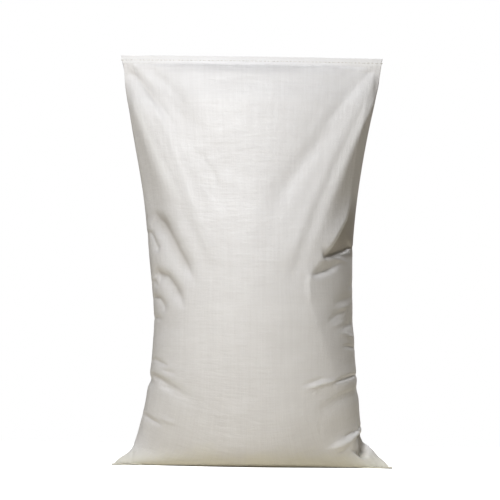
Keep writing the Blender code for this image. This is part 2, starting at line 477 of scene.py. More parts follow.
@dataclass
class SackCloth:
    """The woven tube as a grid of points that is settled under its filling.

    A row runs once round the tube: the front from left to right, then the back from right to left.
    Row 0 is the bottom seam and the last row is the top edge.
    """

    form: SackForm
    settings: ClothSettings = field(default_factory=ClothSettings)

    def __post_init__(self) -> None:
        """Works out the numbering and the true lengths of the cloth."""
        s = self.settings
        self.count = 2 * s.columns
        column = np.arange(self.count)
        self.partner = (-column) % self.count
        around = column / s.columns
        self.across = np.where(column <= s.columns, 2 * around - 1, 3 - 2 * around)
        self.along = np.arange(s.rows + 1) / s.rows
        self.flat_step = 2 * self.form.half_seam / s.columns
        self.long_step = s.length / s.rows
        half_seam = self.form.half_seam
        half_widths = np.interp(self.along, (0, s.narrows_from, 1), (half_seam, half_seam, s.half_top))
        self.weft = 2 * half_widths / s.columns
        self.warp = self._warp_lengths()
        self.formed = self._start_form()
        noise = np.random.default_rng(s.seed).normal(0, s.start_noise, self.formed[1:-1].shape)
        self.points = self.formed.copy()
        self.points[1:-1] += noise * smooth(self.along[1:-1], *s.foot_blend)[:, None, None]

    def _warp_lengths(self) -> Grid:
        """The cloth's length from row to row.

        Returns:
            Metres for each row and column: less at the side folds, and more where the cloth is slack.
        """
        s = self.settings
        t = np.abs(self.across)[None, :]
        high = (self.along > s.corner_from)[:, None]
        lengths = (s.side_length + (s.length - s.side_length) * (1 - t**2)) / s.rows * np.ones(high.shape)
        lengths *= 1 - s.corner_draw * t**4 * high
        for patch in s.slack:
            near = ((self.across[None, :] - patch.across) / patch.reach_across) ** 2
            near = near + ((self.along[:, None] - patch.along) / patch.reach_along) ** 2
            lengths *= 1 + patch.extra * np.exp(-near)
        return lengths

    def _start_form(self) -> Grid:
        """The form that the simulation starts from.

        Returns:
            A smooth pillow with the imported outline, with the long folds only just begun.
        """
        s, form = self.settings, self.form
        t = np.linspace(-1, 1, s.columns + 1)
        z = np.concatenate([[0.0], np.linspace(0, 1, s.start_levels) ** s.start_crowding * form.height])
        across = np.sin(math.pi / 2 * t) * s.start_rounding + t * (1 - s.start_rounding)
        x = form.half_width(z)[:, None] * across
        place, level = np.broadcast_arrays(across[None, :], z[:, None])
        middle, depth = form.middles.at(level, place), form.depths.at(level, place)
        x[0] = form.half_seam * t
        middle[0] = form.middles.at(np.zeros_like(t), t)
        depth[0] = 0.0
        sides = []
        for sign in (-1, 1):
            y = middle + sign * depth
            side = np.zeros((s.rows + 1, s.columns + 1, 3))
            for column in range(s.columns + 1):
                path = np.stack([x[:, column], y[:, column], z], axis=1)
                run = np.concatenate([[0], np.cumsum(np.linalg.norm(np.diff(path, axis=0), axis=1))])
                for axis in range(3):
                    side[:, column, axis] = np.interp(self.along, run / run[-1], path[:, axis])
            sides.append(side)
        front, back = sides
        return np.concatenate([front, back[:, -2:0:-1]], axis=1)

    def _area_normals(self) -> Grid:
        """Which way the filling pushes the cloth.

        Returns:
            Outward normals, each as long as the area round its point.
        """
        p = self.points
        across = np.roll(p, -1, axis=1) - np.roll(p, 1, axis=1)
        up = np.empty_like(p)
        up[1:-1] = p[2:] - p[:-2]
        up[0] = 2 * (p[1] - p[0])
        up[-1] = 2 * (p[-1] - p[-2])
        return np.cross(across, up) / 4

    @staticmethod
    def _pulled(a: Grid, b: Grid, rest: Grid, stiff: Grid) -> Grid:
        """How far the first ends of links move so that each link nears its length."""
        d = b - a
        length = np.sqrt(np.einsum("...i,...i->...", d, d)) + 1e-12
        return (stiff * 0.5 * (length - rest) / length)[..., None] * d

    def _hold_cloth(self) -> None:
        """Brings every tape back to its length, and lets the weave slant and bend only so far."""
        s, p = self.settings, self.points
        one = np.ones(1)
        per_step = s.step_time**2
        for start in (0, 1):
            here = np.arange(start, self.count, 2)
            beside = (here + 1) % self.count
            move = self._pulled(p[:, here], p[:, beside], self.weft[:, None], one)
            p[:, here] += move
            p[:, beside] -= move
        slant = np.interp(self.along, s.shear_span, [math.log(v) for v in s.shear])
        slant = (1 / (1 + np.exp(slant) / per_step))[:, None]
        diagonal = math.hypot(self.flat_step, self.long_step)
        for shift in (0, 1, -1):
            for start in (0, 1):
                end = start + 2 * ((s.rows + 1 - start) // 2)
                low, high = slice(start, end, 2), slice(start + 1, end, 2)
                above = np.roll(p[high], -shift, axis=1)
                if shift:
                    move = self._pulled(p[low], above, diagonal, slant[low])
                else:
                    move = self._pulled(p[low], above, self.warp[low], one)
                p[low] += move
                p[high] = np.roll(above - move, shift, axis=1)
        stiff = 1 / (1 + s.bending / per_step)
        for start in range(4):
            low = np.arange(start, s.rows - 1, 4)
            move = self._pulled(p[low], p[low + 2], 2 * self.long_step, stiff)
            p[low] += move
            p[low + 2] -= move
        for start in range(4):
            here = np.arange(start, self.count, 4)
            beside = (here + 2) % self.count
            folded = np.isin((here + 1) % self.count, (0, s.columns))
            firm = np.where(folded, 0.0, stiff)[None, :]
            move = self._pulled(p[:, here], p[:, beside], 2 * self.flat_step, firm)
            p[:, here] += move
            p[:, beside] -= move

    def _hold_shape(self, before: Grid, hem: Grid, start: Grid, drawn: float) -> None:
        """Keeps the seams shut, the panels apart, the filling in its form and the cloth on the floor.

        Args:
            before: the points at the step's start.
            hem: where the top edge is held.
            start: the points that the simulation began with.
            drawn: from 0 to 1, how far the top edge has been drawn to its place.
        """
        s, p = self.settings, self.points
        for row in (0, s.rows):
            p[row] = 0.5 * (p[row] + p[row, self.partner])
        front = np.arange(1, s.columns)
        back = self.partner[front]
        push = np.clip(s.panel_gap - (p[1:-1, back, 1] - p[1:-1, front, 1]), 0, None) / 2
        p[1:-1, back, 1] += push
        p[1:-1, front, 1] -= push
        z = p[..., 2]
        across = p[..., 0] / self.form.half_width(z)
        middle = self.form.middles.at(z, across)
        off = (p[..., 1] - middle) / (self.form.deepest(z) + s.shell_ease)
        reach = self.form.reach.at(z, np.arctan2(np.abs(off), -across))
        low, high = s.shell_fade
        firm = s.shell * np.clip((high - z) / (high - low), 0, 1)
        inward = 1 - firm * np.clip(1 - reach / np.maximum(np.hypot(across, off), 1e-6), 0, None)
        p[..., 0] *= inward
        p[..., 1] = middle + (p[..., 1] - middle) * inward
        under = p[..., 2] < 0
        p[..., 2][under] = 0
        p[..., :2] -= under[..., None] * 0.5 * (p[..., :2] - before[..., :2])
        for row, drop in ((s.rows, 0.0), (s.rows - 1, self.long_step)):
            p[row] = start[row] * (1 - drawn) + (hem - np.array([0, 0, drop])) * drawn
        foot = self.foot_rows()
        p[:foot] = start[:foot]

    def foot_rows(self) -> int:
        """How many rows of cloth lie pressed under the foot and keep their place."""
        return int(self.settings.foot_share * self.settings.rows) + 1

    def hem_line(self) -> Grid:
        """Where the sewn top edge stands."""
        s, t = self.settings, self.across
        bow = -s.hem_bow * (np.cos(math.pi / 2 * t) - 0.5)
        return np.stack([s.hem_half_width * t, bow, np.full(self.count, self.form.height)], axis=1)

    def settle(self) -> Grid:
        """Runs the simulation.

        Returns:
            The settled points, row by row.
        """
        s = self.settings
        start = self.points.copy()
        speed = np.zeros_like(start)
        hem = self.hem_line()
        area = self.flat_step * self.long_step
        for step in range(s.steps):
            before = self.points.copy()
            filled = np.clip((s.fill_height - before[..., 2]) / s.fill_height, 0, 1) + s.headroom
            push = self._area_normals() / area * (s.pressure * filled)[..., None]
            push[..., 2] -= s.weight
            speed = (speed + s.step_time * push) * (1 - s.damping * s.step_time)
            self.points += s.step_time * speed
            self._hold_cloth()
            self._hold_shape(before, hem, start, min(1.0, step / s.draw_steps))
            speed = (self.points - before) / s.step_time
            pace = np.sqrt((speed**2).sum(-1, keepdims=True))
            speed *= np.minimum(1.0, s.top_speed / (pace + 1e-9))
        own = smooth(self.along, *s.foot_blend) * (1 - (1 - s.kept_fold) * smooth(self.along, *s.own_form))
        return self.formed + own[:, None, None] * (self.points - self.formed)


@dataclass(frozen=True)
class Crease:
    """One crease, drawn through the pixels of the photo that it runs through.

    A crease on the back has the pixels that it would have in a photo from behind. Width is in pixels and
    depth in metres. Taper is the part of the length over which each end fades. Spread multiplies the width
    on each side of the path, the side to its right in the picture first where it runs down. Edge is how
    much of the crease is a sharp line.
    """

    kind: CreaseKind
    path: tuple[Point2, ...]
    width: float
    depth: float
    taper: Point2 = (0.35, 0.35)
    spread: Point2 = (1.0, 1.0)
    edge: float = 0.55

    def displacement(self, pixels: Grid) -> Grid:
        """How far the cloth moves outwards at each place.

        Args:
            pixels: where the places fall in the photo.

        Returns:
            Metres, negative where the cloth goes in.
        """
        distance, side, run = self._along(pixels)
        fade = smooth(run, 0.0, self.taper[0]) * smooth(1 - run, 0.0, self.taper[1])
        wide = self.width * (CREASE_END_WIDTH + (1 - CREASE_END_WIDTH) * fade)
        d = distance / (wide * np.where(side < 0, *self.spread))
        if self.kind is CreaseKind.PINCH:
            profile = side * d * np.exp(0.5 - d**2 / 2)
        else:
            line = np.exp(-CREASE_SHARPNESS * d)
            profile = self.kind.value * ((1 - self.edge) * np.exp(-(d**2)) + self.edge * line)
            profile = profile * smooth(CREASE_REACH - d, 0, CREASE_RUN_OUT)
        return self.depth * fade * profile

    def _along(self, pixels: Grid) -> tuple[Grid, Grid, Grid]:
        """Where places lie by the crease.

        Args:
            pixels: where the places fall in the photo.

        Returns:
            How far each lies from the path, on which side of it, and how far along it, from 0 to 1.
        """
        path = np.array(self.path, dtype=float)
        legs = np.diff(path, axis=0)
        lengths = np.linalg.norm(legs, axis=1)
        starts = np.concatenate([[0], np.cumsum(lengths)])
        nearest = np.full(pixels.shape[:-1], np.inf)
        side = np.zeros_like(nearest)
        run = np.zeros_like(nearest)
        for start, leg, length, begun in zip(path, legs, lengths, starts):
            away = pixels - start
            t = np.clip((away @ leg) / length**2, 0, 1)
            gap = away - t[..., None] * leg
            distance = np.hypot(gap[..., 0], gap[..., 1])
            closer = distance < nearest
            nearest = np.where(closer, distance, nearest)
            cross = leg[0] * away[..., 1] - leg[1] * away[..., 0]
            side = np.where(closer, np.sign(cross), side)
            run = np.where(closer, (begun + t * length) / starts[-1], run)
        return nearest, side, run


VALLEY, RIDGE, PINCH = CreaseKind.VALLEY, CreaseKind.RIDGE, CreaseKind.PINCH

FRONT_CREASES: tuple[Crease, ...] = tuple(
    Crease(*row)
    for row in (
        # The left top corner
        (VALLEY, ((120, 62), (127, 68), (137, 78), (149, 91), (159, 104), (169, 118), (180, 134)),
         5.0, 0.0080, (0.05, 0.6), (1.0, 2.2), 0.15),
        (VALLEY, ((141, 66), (152, 72), (166, 83), (180, 98), (190, 114)),
         5.0, 0.0020, (0.35, 0.35), (1.3, 0.9), 0.1),
        (RIDGE, ((123, 70), (134, 92), (149, 138), (167, 178), (184, 208), (200, 236)),
         8.0, 0.0028, (0.1, 0.4), (1.0, 1.0), 0.2),
        (RIDGE, ((126, 68), (145, 92), (161, 119), (171, 143), (186, 185), (201, 225)),
         3.6, 0.0012, (0.1, 0.4), (1.0, 1.0), 0.2),
        (VALLEY, ((141, 92), (153, 121), (170, 158), (188, 200)),
         5.5, 0.0010, (0.35, 0.35), (1.0, 1.0), 0.1),
        # The thin creases left of the middle
        (VALLEY, ((190, 147), (200, 155), (213, 173), (223, 192)), 1.8, 0.0014, (0.35, 0.35), (1.6, 0.8)),
        (VALLEY, ((200, 180), (208, 190), (217, 203)), 1.6, 0.0012, (0.35, 0.35), (1.6, 0.8)),
        (VALLEY, ((199, 224), (205, 238)), 1.8, 0.0009),
        # The lobes and puckers at the left side
        (VALLEY, ((147, 214), (156, 215), (162, 223), (169, 235), (177, 250), (187, 267), (197, 289)),
         3.6, 0.0100, (0.25, 0.35), (1.9, 3.2), 0.35),
        (VALLEY, ((148, 230), (153, 240), (159, 254)), 2.4, 0.0046, (0.1, 0.3), (1.4, 2.0)),
        (VALLEY, ((151, 277), (158, 274), (166, 277), (173, 286), (180, 299), (185, 312)),
         3.2, 0.0086, (0.15, 0.4), (1.7, 2.6), 0.35),
        (VALLEY, ((153, 279), (159, 289)), 1.8, 0.0034, (0.1, 0.5), (1.2, 1.6)),
        (VALLEY, ((152, 297), (158, 298), (163, 305), (166, 314)), 2.2, 0.0048, (0.1, 0.4), (1.6, 2.0)),
        (VALLEY, ((150, 318), (158, 318), (165, 321)), 2.4, 0.0030, (0.1, 0.5)),
        (VALLEY, ((152, 358), (160, 362), (170, 367)), 2.6, 0.0034, (0.15, 0.5), (1.0, 1.6)),
        (VALLEY, ((159, 369), (168, 372), (178, 374)), 2.4, 0.0024),
        (VALLEY, ((158, 386), (174, 389)), 2.2, 0.0016),
        (VALLEY, ((142, 413), (152, 420), (165, 427)), 2.2, 0.0044, (0.1, 0.5), (1.0, 1.6)),
        (RIDGE, ((158, 416), (168, 421), (178, 424)), 2.4, 0.0022),
        # The right top corner
        (VALLEY, ((380, 60), (358, 84), (337, 110), (314, 138)),
         7.0, 0.0042, (0.05, 0.5), (1.0, 1.0), 0.1),
        (RIDGE, ((378, 68), (368, 100), (350, 140), (330, 187), (311, 238)),
         9.0, 0.0024, (0.1, 0.4), (1.0, 1.0), 0.1),
        # The rim of the pocket at the right side, the smaller pocket under it and the puckers below
        (RIDGE, ((353, 185), (350, 202), (345, 220), (337, 235), (327, 252)),
         3.0, 0.0018, (0.4, 0.1), (0.8, 2.4)),
        (VALLEY, ((354, 246), (345, 251), (336, 254), (323, 259)), 3.0, 0.0080, (0.1, 0.12), (1.0, 2.6)),
        (RIDGE, ((320, 262), (327, 259), (334, 258), (343, 261), (351, 264)), 2.2, 0.0030, (0.2, 0.3)),
        (VALLEY, ((309, 277), (318, 274), (327, 271), (336, 266), (345, 261)),
         3.2, 0.0070, (0.3, 0.5), (2.0, 1.1)),
        (RIDGE, ((312, 270), (309, 282), (310, 300), (313, 312)), 3.2, 0.0026, (0.2, 0.5)),
        (VALLEY, ((356, 283), (347, 289)), 3.0, 0.0060, (0.1, 0.6)),
        (VALLEY, ((356, 294), (348, 298), (340, 301), (331, 307)), 2.8, 0.0026, (0.1, 0.5), (1.8, 1.8)),
        (RIDGE, ((353, 302), (344, 307), (336, 311)), 2.2, 0.0016),
        (VALLEY, ((348, 310), (337, 315), (326, 323)), 2.2, 0.0024, (0.2, 0.5), (1.2, 1.6)),
        (RIDGE, ((327, 328), (337, 325), (347, 319)), 2.2, 0.0016),
        (VALLEY, ((357, 318), (350, 324), (341, 329)), 2.8, 0.0036, (0.1, 0.5), (1.4, 1.4)),
        (RIDGE, ((335, 333), (345, 334), (355, 338)), 2.2, 0.0022, (0.5, 0.1)),
        (VALLEY, ((357, 348), (349, 346), (340, 347)), 2.4, 0.0030, (0.1, 0.5)),
        (VALLEY, ((299, 386), (313, 382), (328, 377)), 2.0, 0.0022),
        (RIDGE, ((303, 390), (322, 384), (342, 379)), 2.4, 0.0034),
        (VALLEY, ((330, 384), (344, 379), (359, 374)), 2.2, 0.0050, (0.5, 0.1)),
        (VALLEY, ((321, 412), (321, 430), (322, 447)), 1.4, 0.0008),
        # The right corner at the floor
        (RIDGE, ((363, 427), (357, 434), (348, 441), (336, 447), (324, 450)),
         3.8, 0.0066, (0.1, 0.4), (2.6, 1.0), 0.35),
        (VALLEY, ((362, 424), (358, 430), (350, 434), (340, 438)), 1.8, 0.0044, (0.1, 0.5)),
        (VALLEY, ((361, 431), (366, 438), (367, 447), (362, 459)),
         4.4, 0.0190, (0.1, 0.15), (0.7, 1.8), 0.3),
        (VALLEY, ((365, 427), (361, 432), (357, 436)), 2.2, 0.0090, (0.2, 0.4)),
        (VALLEY, ((352, 444), (344, 450), (334, 454)), 2.6, 0.0022),
        # The left corner at the floor
        (VALLEY, ((133, 451), (131, 458), (130, 465)), 1.8, 0.0026, (0.1, 0.2)),
    )
)

BACK_CREASES: tuple[Crease, ...] = tuple(
    Crease(*row)
    for row in (
        (VALLEY, ((122, 63), (136, 80), (154, 104), (168, 130)), 3.2, 0.0020, (0.08, 0.5)),
        (VALLEY, ((378, 62), (361, 80), (342, 104), (330, 122)), 3.4, 0.0022, (0.08, 0.5)),
        (VALLEY, ((345, 66), (332, 84), (322, 101)), 4.0, 0.0011, (0.35, 0.35)),
        (RIDGE, ((133, 84), (150, 140), (174, 196), (200, 240)), 5.5, 0.0015, (0.15, 0.4)),
        (RIDGE, ((370, 80), (346, 140), (318, 190)), 5.5, 0.0015, (0.15, 0.4)),
        (VALLEY, ((150, 236), (166, 247), (186, 262)), 4.0, 0.0036, (0.1, 0.5)),
        (RIDGE, ((152, 252), (168, 262), (184, 276)), 4.2, 0.0024, (0.2, 0.5)),
        (VALLEY, ((152, 283), (166, 287), (177, 298)), 2.6, 0.0026, (0.1, 0.5)),
        (VALLEY, ((357, 230), (340, 246), (322, 272)), 4.4, 0.0038, (0.2, 0.5)),
        (VALLEY, ((355, 276), (341, 280), (330, 288)), 2.6, 0.0028, (0.1, 0.5)),
        (RIDGE, ((352, 288), (338, 293), (326, 301)), 3.0, 0.0018, (0.2, 0.5)),
        (PINCH, ((357, 342), (343, 345), (331, 351)), 2.4, 0.0018, (0.1, 0.5)),
        (VALLEY, ((150, 345), (163, 349), (175, 352)), 2.4, 0.0016, (0.1, 0.5)),
        (VALLEY, ((233, 168), (240, 181), (244, 199)), 1.8, 0.0008, (0.35, 0.35)),
        (VALLEY, ((278, 214), (271, 226), (268, 240)), 1.8, 0.0007, (0.35, 0.35)),
        (VALLEY, ((358, 408), (346, 414), (335, 417)), 2.4, 0.0020, (0.1, 0.5)),
        (RIDGE, ((142, 424), (154, 436), (168, 445)), 3.8, 0.0030, (0.2, 0.5)),
    )
)


@dataclass(frozen=True)
class Noise:
    """A smooth noise: how many of its lumps go to a metre along each axis, and how rough they are."""

    scale: Point3
    detail: float
    roughness: float


@dataclass
class Tree:
    """A node tree under construction, with short ways to add and join nodes.

    The tree is that of a material, a world or a node group, and only a group has given and wanted sockets.
    """

    tree: bpy.types.NodeTree
    given: Any = None
    wanted: Any = None

    @classmethod
    def group(
        cls,
        name: str,
        kind: str,
        inputs: Sequence[tuple[str, str, Any]],
        outputs: Sequence[tuple[str, str]],
    ) -> "Tree":
        """A new node group.

        Args:
            name: the group's name.
            kind: the type of tree.
            inputs: name, socket type and value of each input.
            outputs: name and socket type of each output.

        Returns:
            The group's tree, with the sockets that it is given and those that it has to feed.
        """
        tree = bpy.data.node_groups.new(name, kind)
        for label, socket, value in inputs:
            item = tree.interface.new_socket(name=label, in_out="INPUT", socket_type=socket)
            if value is not None:
                item.default_value = value
        for label, socket in outputs:
            tree.interface.new_socket(name=label, in_out="OUTPUT", socket_type=socket)
        given = tree.nodes.new("NodeGroupInput").outputs
        wanted = tree.nodes.new("NodeGroupOutput").inputs
        return cls(tree, given, wanted)

    @classmethod
    def of_material(cls, name: str) -> tuple[bpy.types.Material, "Tree", bpy.types.Node]:
        """A new material, its tree and the shader in it."""
        material = bpy.data.materials.new(name)
        material.use_nodes = True
        return material, cls(material.node_tree), material.node_tree.nodes["Principled BSDF"]

    def add(self, kind: str, inputs: Optional[dict[Any, Any]] = None, **settings: Any) -> bpy.types.Node:
        """Adds a node.

        Args:
            kind: the node's type.
            inputs: a value or another node's output for each input.
            settings: the node's own properties.

        Returns:
            The node.
        """
        node = self.tree.nodes.new(kind)
        for name, value in settings.items():
            setattr(node, name, value)
        for key, value in (inputs or {}).items():
            self.feed(node.inputs[key], value)
        return node

    def feed(self, socket: Socket, value: Any) -> None:
        """Gives a socket what it reads.

        Args:
            socket: the socket.
            value: another node's output to link, or a plain value.
        """
        if isinstance(value, Socket):
            self.tree.links.new(value, socket)
        else:
            socket.default_value = value

    def first(self, kind: str, inputs: Optional[dict[Any, Any]] = None, **settings: Any) -> Socket:
        """Adds a node and gives its first output."""
        return self.add(kind, inputs, **settings).outputs[0]

    def math(self, operation: str, a: Any, b: Any = 0.0, c: Any = 0.0) -> Socket:
        """The result of a sum on one, two or three numbers."""
        return self.first("ShaderNodeMath", {0: a, 1: b, 2: c}, operation=operation)

    def mixed(self, *parts: tuple[Any, float]) -> Socket:
        """Adds up several numbers.

        Args:
            parts: each number and its share.

        Returns:
            The sum.
        """
        total = None
        for value, share in parts:
            part = value if share == 1.0 else self.math("MULTIPLY", value, share)
            total = part if total is None else self.math("ADD", total, part)
        return total

    def blend(self, factor: Any, a: Any, b: Any, mode: str = "MIX") -> Socket:
        """A colour between two colours."""
        inputs = {0: factor, 6: a, 7: b}
        node = self.add("ShaderNodeMix", inputs, data_type="RGBA", blend_type=mode, clamp_factor=True)
        return node.outputs[2]

    def between(self, value: Any, low: float, high: float, start: float = 0.0, end: float = 1.0) -> Socket:
        """A number carried smoothly from one range to another."""
        inputs = {"Value": value, "From Min": low, "From Max": high, "To Min": start, "To Max": end}
        return self.first("ShaderNodeMapRange", inputs, interpolation_type="SMOOTHSTEP")

    def noise(self, vector: Any, noise: Noise) -> Socket:
        """Smooth noise with its own scale along each axis."""
        spread = self.first("ShaderNodeVectorMath", {0: vector, 1: noise.scale}, operation="MULTIPLY")
        inputs = {"Vector": spread, "Scale": 1.0, "Detail": noise.detail, "Roughness": noise.roughness}
        return self.add("ShaderNodeTexNoise", inputs).outputs["Fac"]

    def bump(self, height: Any, relief: float) -> Socket:
        """The normals of a surface with a height of so many metres."""
        return self.first("ShaderNodeBump", {"Height": height, "Strength": 1.0, "Distance": relief})


class EffectGroups:
    """The shader groups that the finishes share."""

    @staticmethod
    def weave() -> bpy.types.NodeTree:
        """Flat tapes in plain weave, each with a tone of its own.

        Returns:
            A group that turns cloth coordinates in metres into a height and a tone, both about 0 to 1.
        """
        name = "tape_weave"
        if name in bpy.data.node_groups:
            return bpy.data.node_groups[name]
        t = Tree.group(
            name,
            "ShaderNodeTree",
            [("Cloth", "NodeSocketVector", None), ("Tapes per Metre", "NodeSocketFloat", TAPES_PER_METRE)],
            [("Height", "NodeSocketFloat"), ("Tone", "NodeSocketFloat")],
        )
        split = t.add("ShaderNodeSeparateXYZ", {0: t.given["Cloth"]})
        flats, squares, tones, cells = [], [], [], []
        for axis in (0, 1):
            count = t.math("MULTIPLY", split.outputs[axis], t.given["Tapes per Metre"])
            cells.append(t.math("FLOOR", count))
            offset = t.math("MULTIPLY_ADD", t.math("FRACT", count), 2.0, -1.0)
            squares.append(t.math("MULTIPLY", offset, offset))
            flats.append(t.math("SUBTRACT", 1.0, t.math("MULTIPLY", squares[axis], squares[axis])))
            seed = t.first("ShaderNodeCombineXYZ", {0: cells[axis], 1: TONE_SEED * (axis + 1)})
            tones.append(t.first("ShaderNodeTexWhiteNoise", {"Vector": seed}, noise_dimensions="2D"))
        parity = t.math("FLOORED_MODULO", t.math("ADD", *cells), 2.0)
        heights = []
        for flat, square in zip(flats, reversed(squares)):
            heights.append(t.math("MULTIPLY", flat, t.math("MULTIPLY_ADD", square, -TAPE_DIP, 1.0)))
        for label, (under, over) in (("Height", heights), ("Tone", tones)):
            t.feed(t.wanted[label], t.math("MULTIPLY_ADD", parity, t.math("SUBTRACT", over, under), under))
        return t.tree

    @staticmethod
    def floor_dust() -> bpy.types.NodeTree:
        """Dust that settles where the sack meets the floor.

        Returns:
            A group that turns a place into a mask from 0, clean, to 1, dusty.
        """
        name = "floor_dust"
        if name in bpy.data.node_groups:
            return bpy.data.node_groups[name]
        t = Tree.group(
            name,
            "ShaderNodeTree",
            [
                ("Place", "NodeSocketVector", None),
                ("Height", "NodeSocketFloat", DUST_HEIGHT),
                ("Amount", "NodeSocketFloat", DUST_AMOUNT),
            ],
            [("Mask", "NodeSocketFloat")],
        )
        split = t.add("ShaderNodeSeparateXYZ", {0: t.given["Place"]})
        cloud = t.noise(t.given["Place"], Noise((14.0, 14.0, 22.0), 4.0, 0.6))
        level = t.math("DIVIDE", split.outputs["Z"], t.given["Height"])
        rise = t.math("ADD", level, t.math("MULTIPLY_ADD", cloud, -DUST_UNEVENNESS, DUST_UNEVENNESS / 2))
        t.feed(t.wanted["Mask"], t.math("MULTIPLY", t.between(rise, 1.0, 0.0), t.given["Amount"]))
        return t.tree


@dataclass(frozen=True)
class WovenFinish:
    """Uncoated white polypropylene tapes: satin, a little uneven in tone, with fine streaks along them.

    Noises lie on the flat cloth, of which x runs round the sack and y up it, and cloud lies in space. Each
    amount says how far a colour covers the one below it. Heights are counted in reliefs, and relief is in
    metres.
    """

    name: str
    tapes: float = TAPES_PER_METRE
    colour: Colour = (0.82, 0.81, 0.815, 1.0)
    shade: Colour = (0.745, 0.73, 0.73, 1.0)
    # Paler colour of tapes whitened by wear on crease ridges, where the mask is above 0; below 0 the
    # painted shade colour goes in
    wear_and_shade: Colour = (0.90, 0.90, 0.89, 1.0)
    worn_amount: float = 0.35
    doubled: Colour = (0.865, 0.86, 0.87, 1.0)
    doubled_amount: float = 0.85
    # Painted shade: a dark colour laid into deep crease valleys and into the pocket at the right side,
    # where shade falls
    painted_shade: Colour = (0.32, 0.285, 0.24, 1.0)
    painted_shade_amount: float = 0.76
    dust: Colour = (0.78, 0.755, 0.58, 1.0)
    dust_height: float = 0.045
    dust_amount: float = 0.40
    dust_roughness: float = 0.25
    roughness: float = 0.46
    refraction: float = 1.49
    sheen: float = 0.06
    sheen_roughness: float = 0.45
    warp_streak: Noise = Noise((260.0, 7.0, 1.0), 3.0, 0.6)
    weft_streak: Noise = Noise((16.0, 330.0, 1.0), 3.0, 0.6)
    cloud: Noise = Noise((7.0, 7.0, 7.0), 3.0, 0.55)
    patches: Noise = Noise((22.0, 30.0, 1.0), 3.0, 0.55)
    tone_span: Span = (0.65, 1.30)
    relief: float = 0.00008
    streak_height: float = 1.6
    weft_ripple: Noise = Noise((28.0, 75.0, 1.0), 4.0, 0.6)
    warp_ripple: Noise = Noise((95.0, 22.0, 1.0), 3.0, 0.6)
    ripple_height: float = 10.5
    crinkle: Noise = Noise((42.0, 140.0, 1.0), 3.0, 0.55)
    crinkle_height: float = 11.0
    crinkle_centre: float = -0.02
    crinkle_span: Span = (0.04, 0.16)

    def material(self) -> bpy.types.Material:
        """Builds the material.

        Returns:
            The finish, on the piece's own cloth coordinates.
        """
        material, t, shader = Tree.of_material(self.name)
        cloth = t.add("ShaderNodeUVMap", uv_map=CLOTH_MAP).outputs["UV"]
        place = t.add("ShaderNodeTexCoord").outputs["Object"]
        inputs = {"Cloth": cloth, "Tapes per Metre": self.tapes}
        weave = t.add("ShaderNodeGroup", inputs, node_tree=EffectGroups.weave()).outputs
        inputs = {"Place": place, "Height": self.dust_height, "Amount": self.dust_amount}
        dusty = t.first("ShaderNodeGroup", inputs, node_tree=EffectGroups.floor_dust())
        warp, weft = t.noise(cloth, self.warp_streak), t.noise(cloth, self.weft_streak)
        streaks = t.mixed((warp, 0.65), (weft, 0.35))
        uneven = t.mixed((t.noise(place, self.cloud), 0.5), (t.noise(cloth, self.patches), 0.5))
        tone = t.between(t.mixed((streaks, 0.8), (weave["Tone"], 0.06), (uneven, 1.0)), *self.tone_span)
        rough = t.between(tone, 0.0, 1.0, self.roughness + 0.06, self.roughness - 0.04)
        tapes = t.mixed((weave["Height"], 1.0), (streaks, self.streak_height))
        t.feed(shader.inputs["Base Color"], self._body(t, tone, weave["Height"], dusty))
        t.feed(shader.inputs["Roughness"], t.mixed((rough, 1.0), (dusty, self.dust_roughness)))
        shader.inputs["IOR"].default_value = self.refraction
        shader.inputs["Sheen Weight"].default_value = self.sheen
        shader.inputs["Sheen Roughness"].default_value = self.sheen_roughness
        t.feed(shader.inputs["Normal"], t.bump(self._height(t, cloth, place, tapes), self.relief))
        return material

    def _body(self, t: Tree, tone: Socket, tapes: Socket, dusty: Socket) -> Socket:
        """The cloth's colour.

        Args:
            t: the material's tree.
            tone: how bright the cloth is, from 0 to 1.
            tapes: the height of the tapes.
            dusty: where dust lies.

        Returns:
            The colour: with painted shade between the tapes, in deep crease valleys and in the pocket at
                the right side; paler where wear whitens it or where it is doubled.
        """
        # Above 0 where wear whitens crease ridges, below 0 where painted shade darkens the valleys and the
        # pocket
        wear_and_shade = t.add("ShaderNodeAttribute", attribute_name=WEAR_AND_SHADE_MASK).outputs["Fac"]
        layers = t.add("ShaderNodeAttribute", attribute_name=LAYER_MASK).outputs["Fac"]
        # Painted shade: 3 per cent darker where the tapes dip, between and under one another
        gap = t.between(tapes, 0.0, 0.35, 0.97, 1.0)
        painted_gap_shade = t.first("ShaderNodeCombineColor", {0: gap, 1: gap, 2: gap})
        body = t.blend(1.0, t.blend(tone, self.shade, self.colour), painted_gap_shade, "MULTIPLY")
        body = t.blend(t.between(wear_and_shade, 0.15, 1.0, 0.0, self.worn_amount), body, self.wear_and_shade)
        body = t.blend(t.math("MULTIPLY", layers, self.doubled_amount), body, self.doubled)
        # Painted shade in deep crease valleys and in the pocket, where the mask is below 0
        body = t.blend(t.between(wear_and_shade, -0.2, -1.0, 0.0, self.painted_shade_amount), body, self.painted_shade)
        return t.blend(dusty, body, self.dust)

    def _height(self, t: Tree, cloth: Socket, place: Socket, tapes: Socket) -> Socket:
        """The cloth's fine relief.

        Args:
            t: the material's tree.
            cloth: the cloth coordinates.
            place: the place in space.
            tapes: the relief of the tapes alone.

        Returns:
            The tapes with ripples all over, and with crinkles in the middle, where the cloth is slack.
        """
        ripple = t.mixed((t.noise(cloth, self.weft_ripple), 1.0), (t.noise(cloth, self.warp_ripple), 1.0))
        across = t.first("ShaderNodeSeparateXYZ", {"Vector": place})
        off = t.math("ABSOLUTE", t.math("SUBTRACT", across, self.crinkle_centre))
        slack = t.between(off, *self.crinkle_span, 1.0, 0.15)
        crinkle = t.math("MULTIPLY", t.noise(cloth, self.crinkle), slack)
        return t.mixed((tapes, 1.0), (ripple, self.ripple_height), (crinkle, self.crinkle_height))


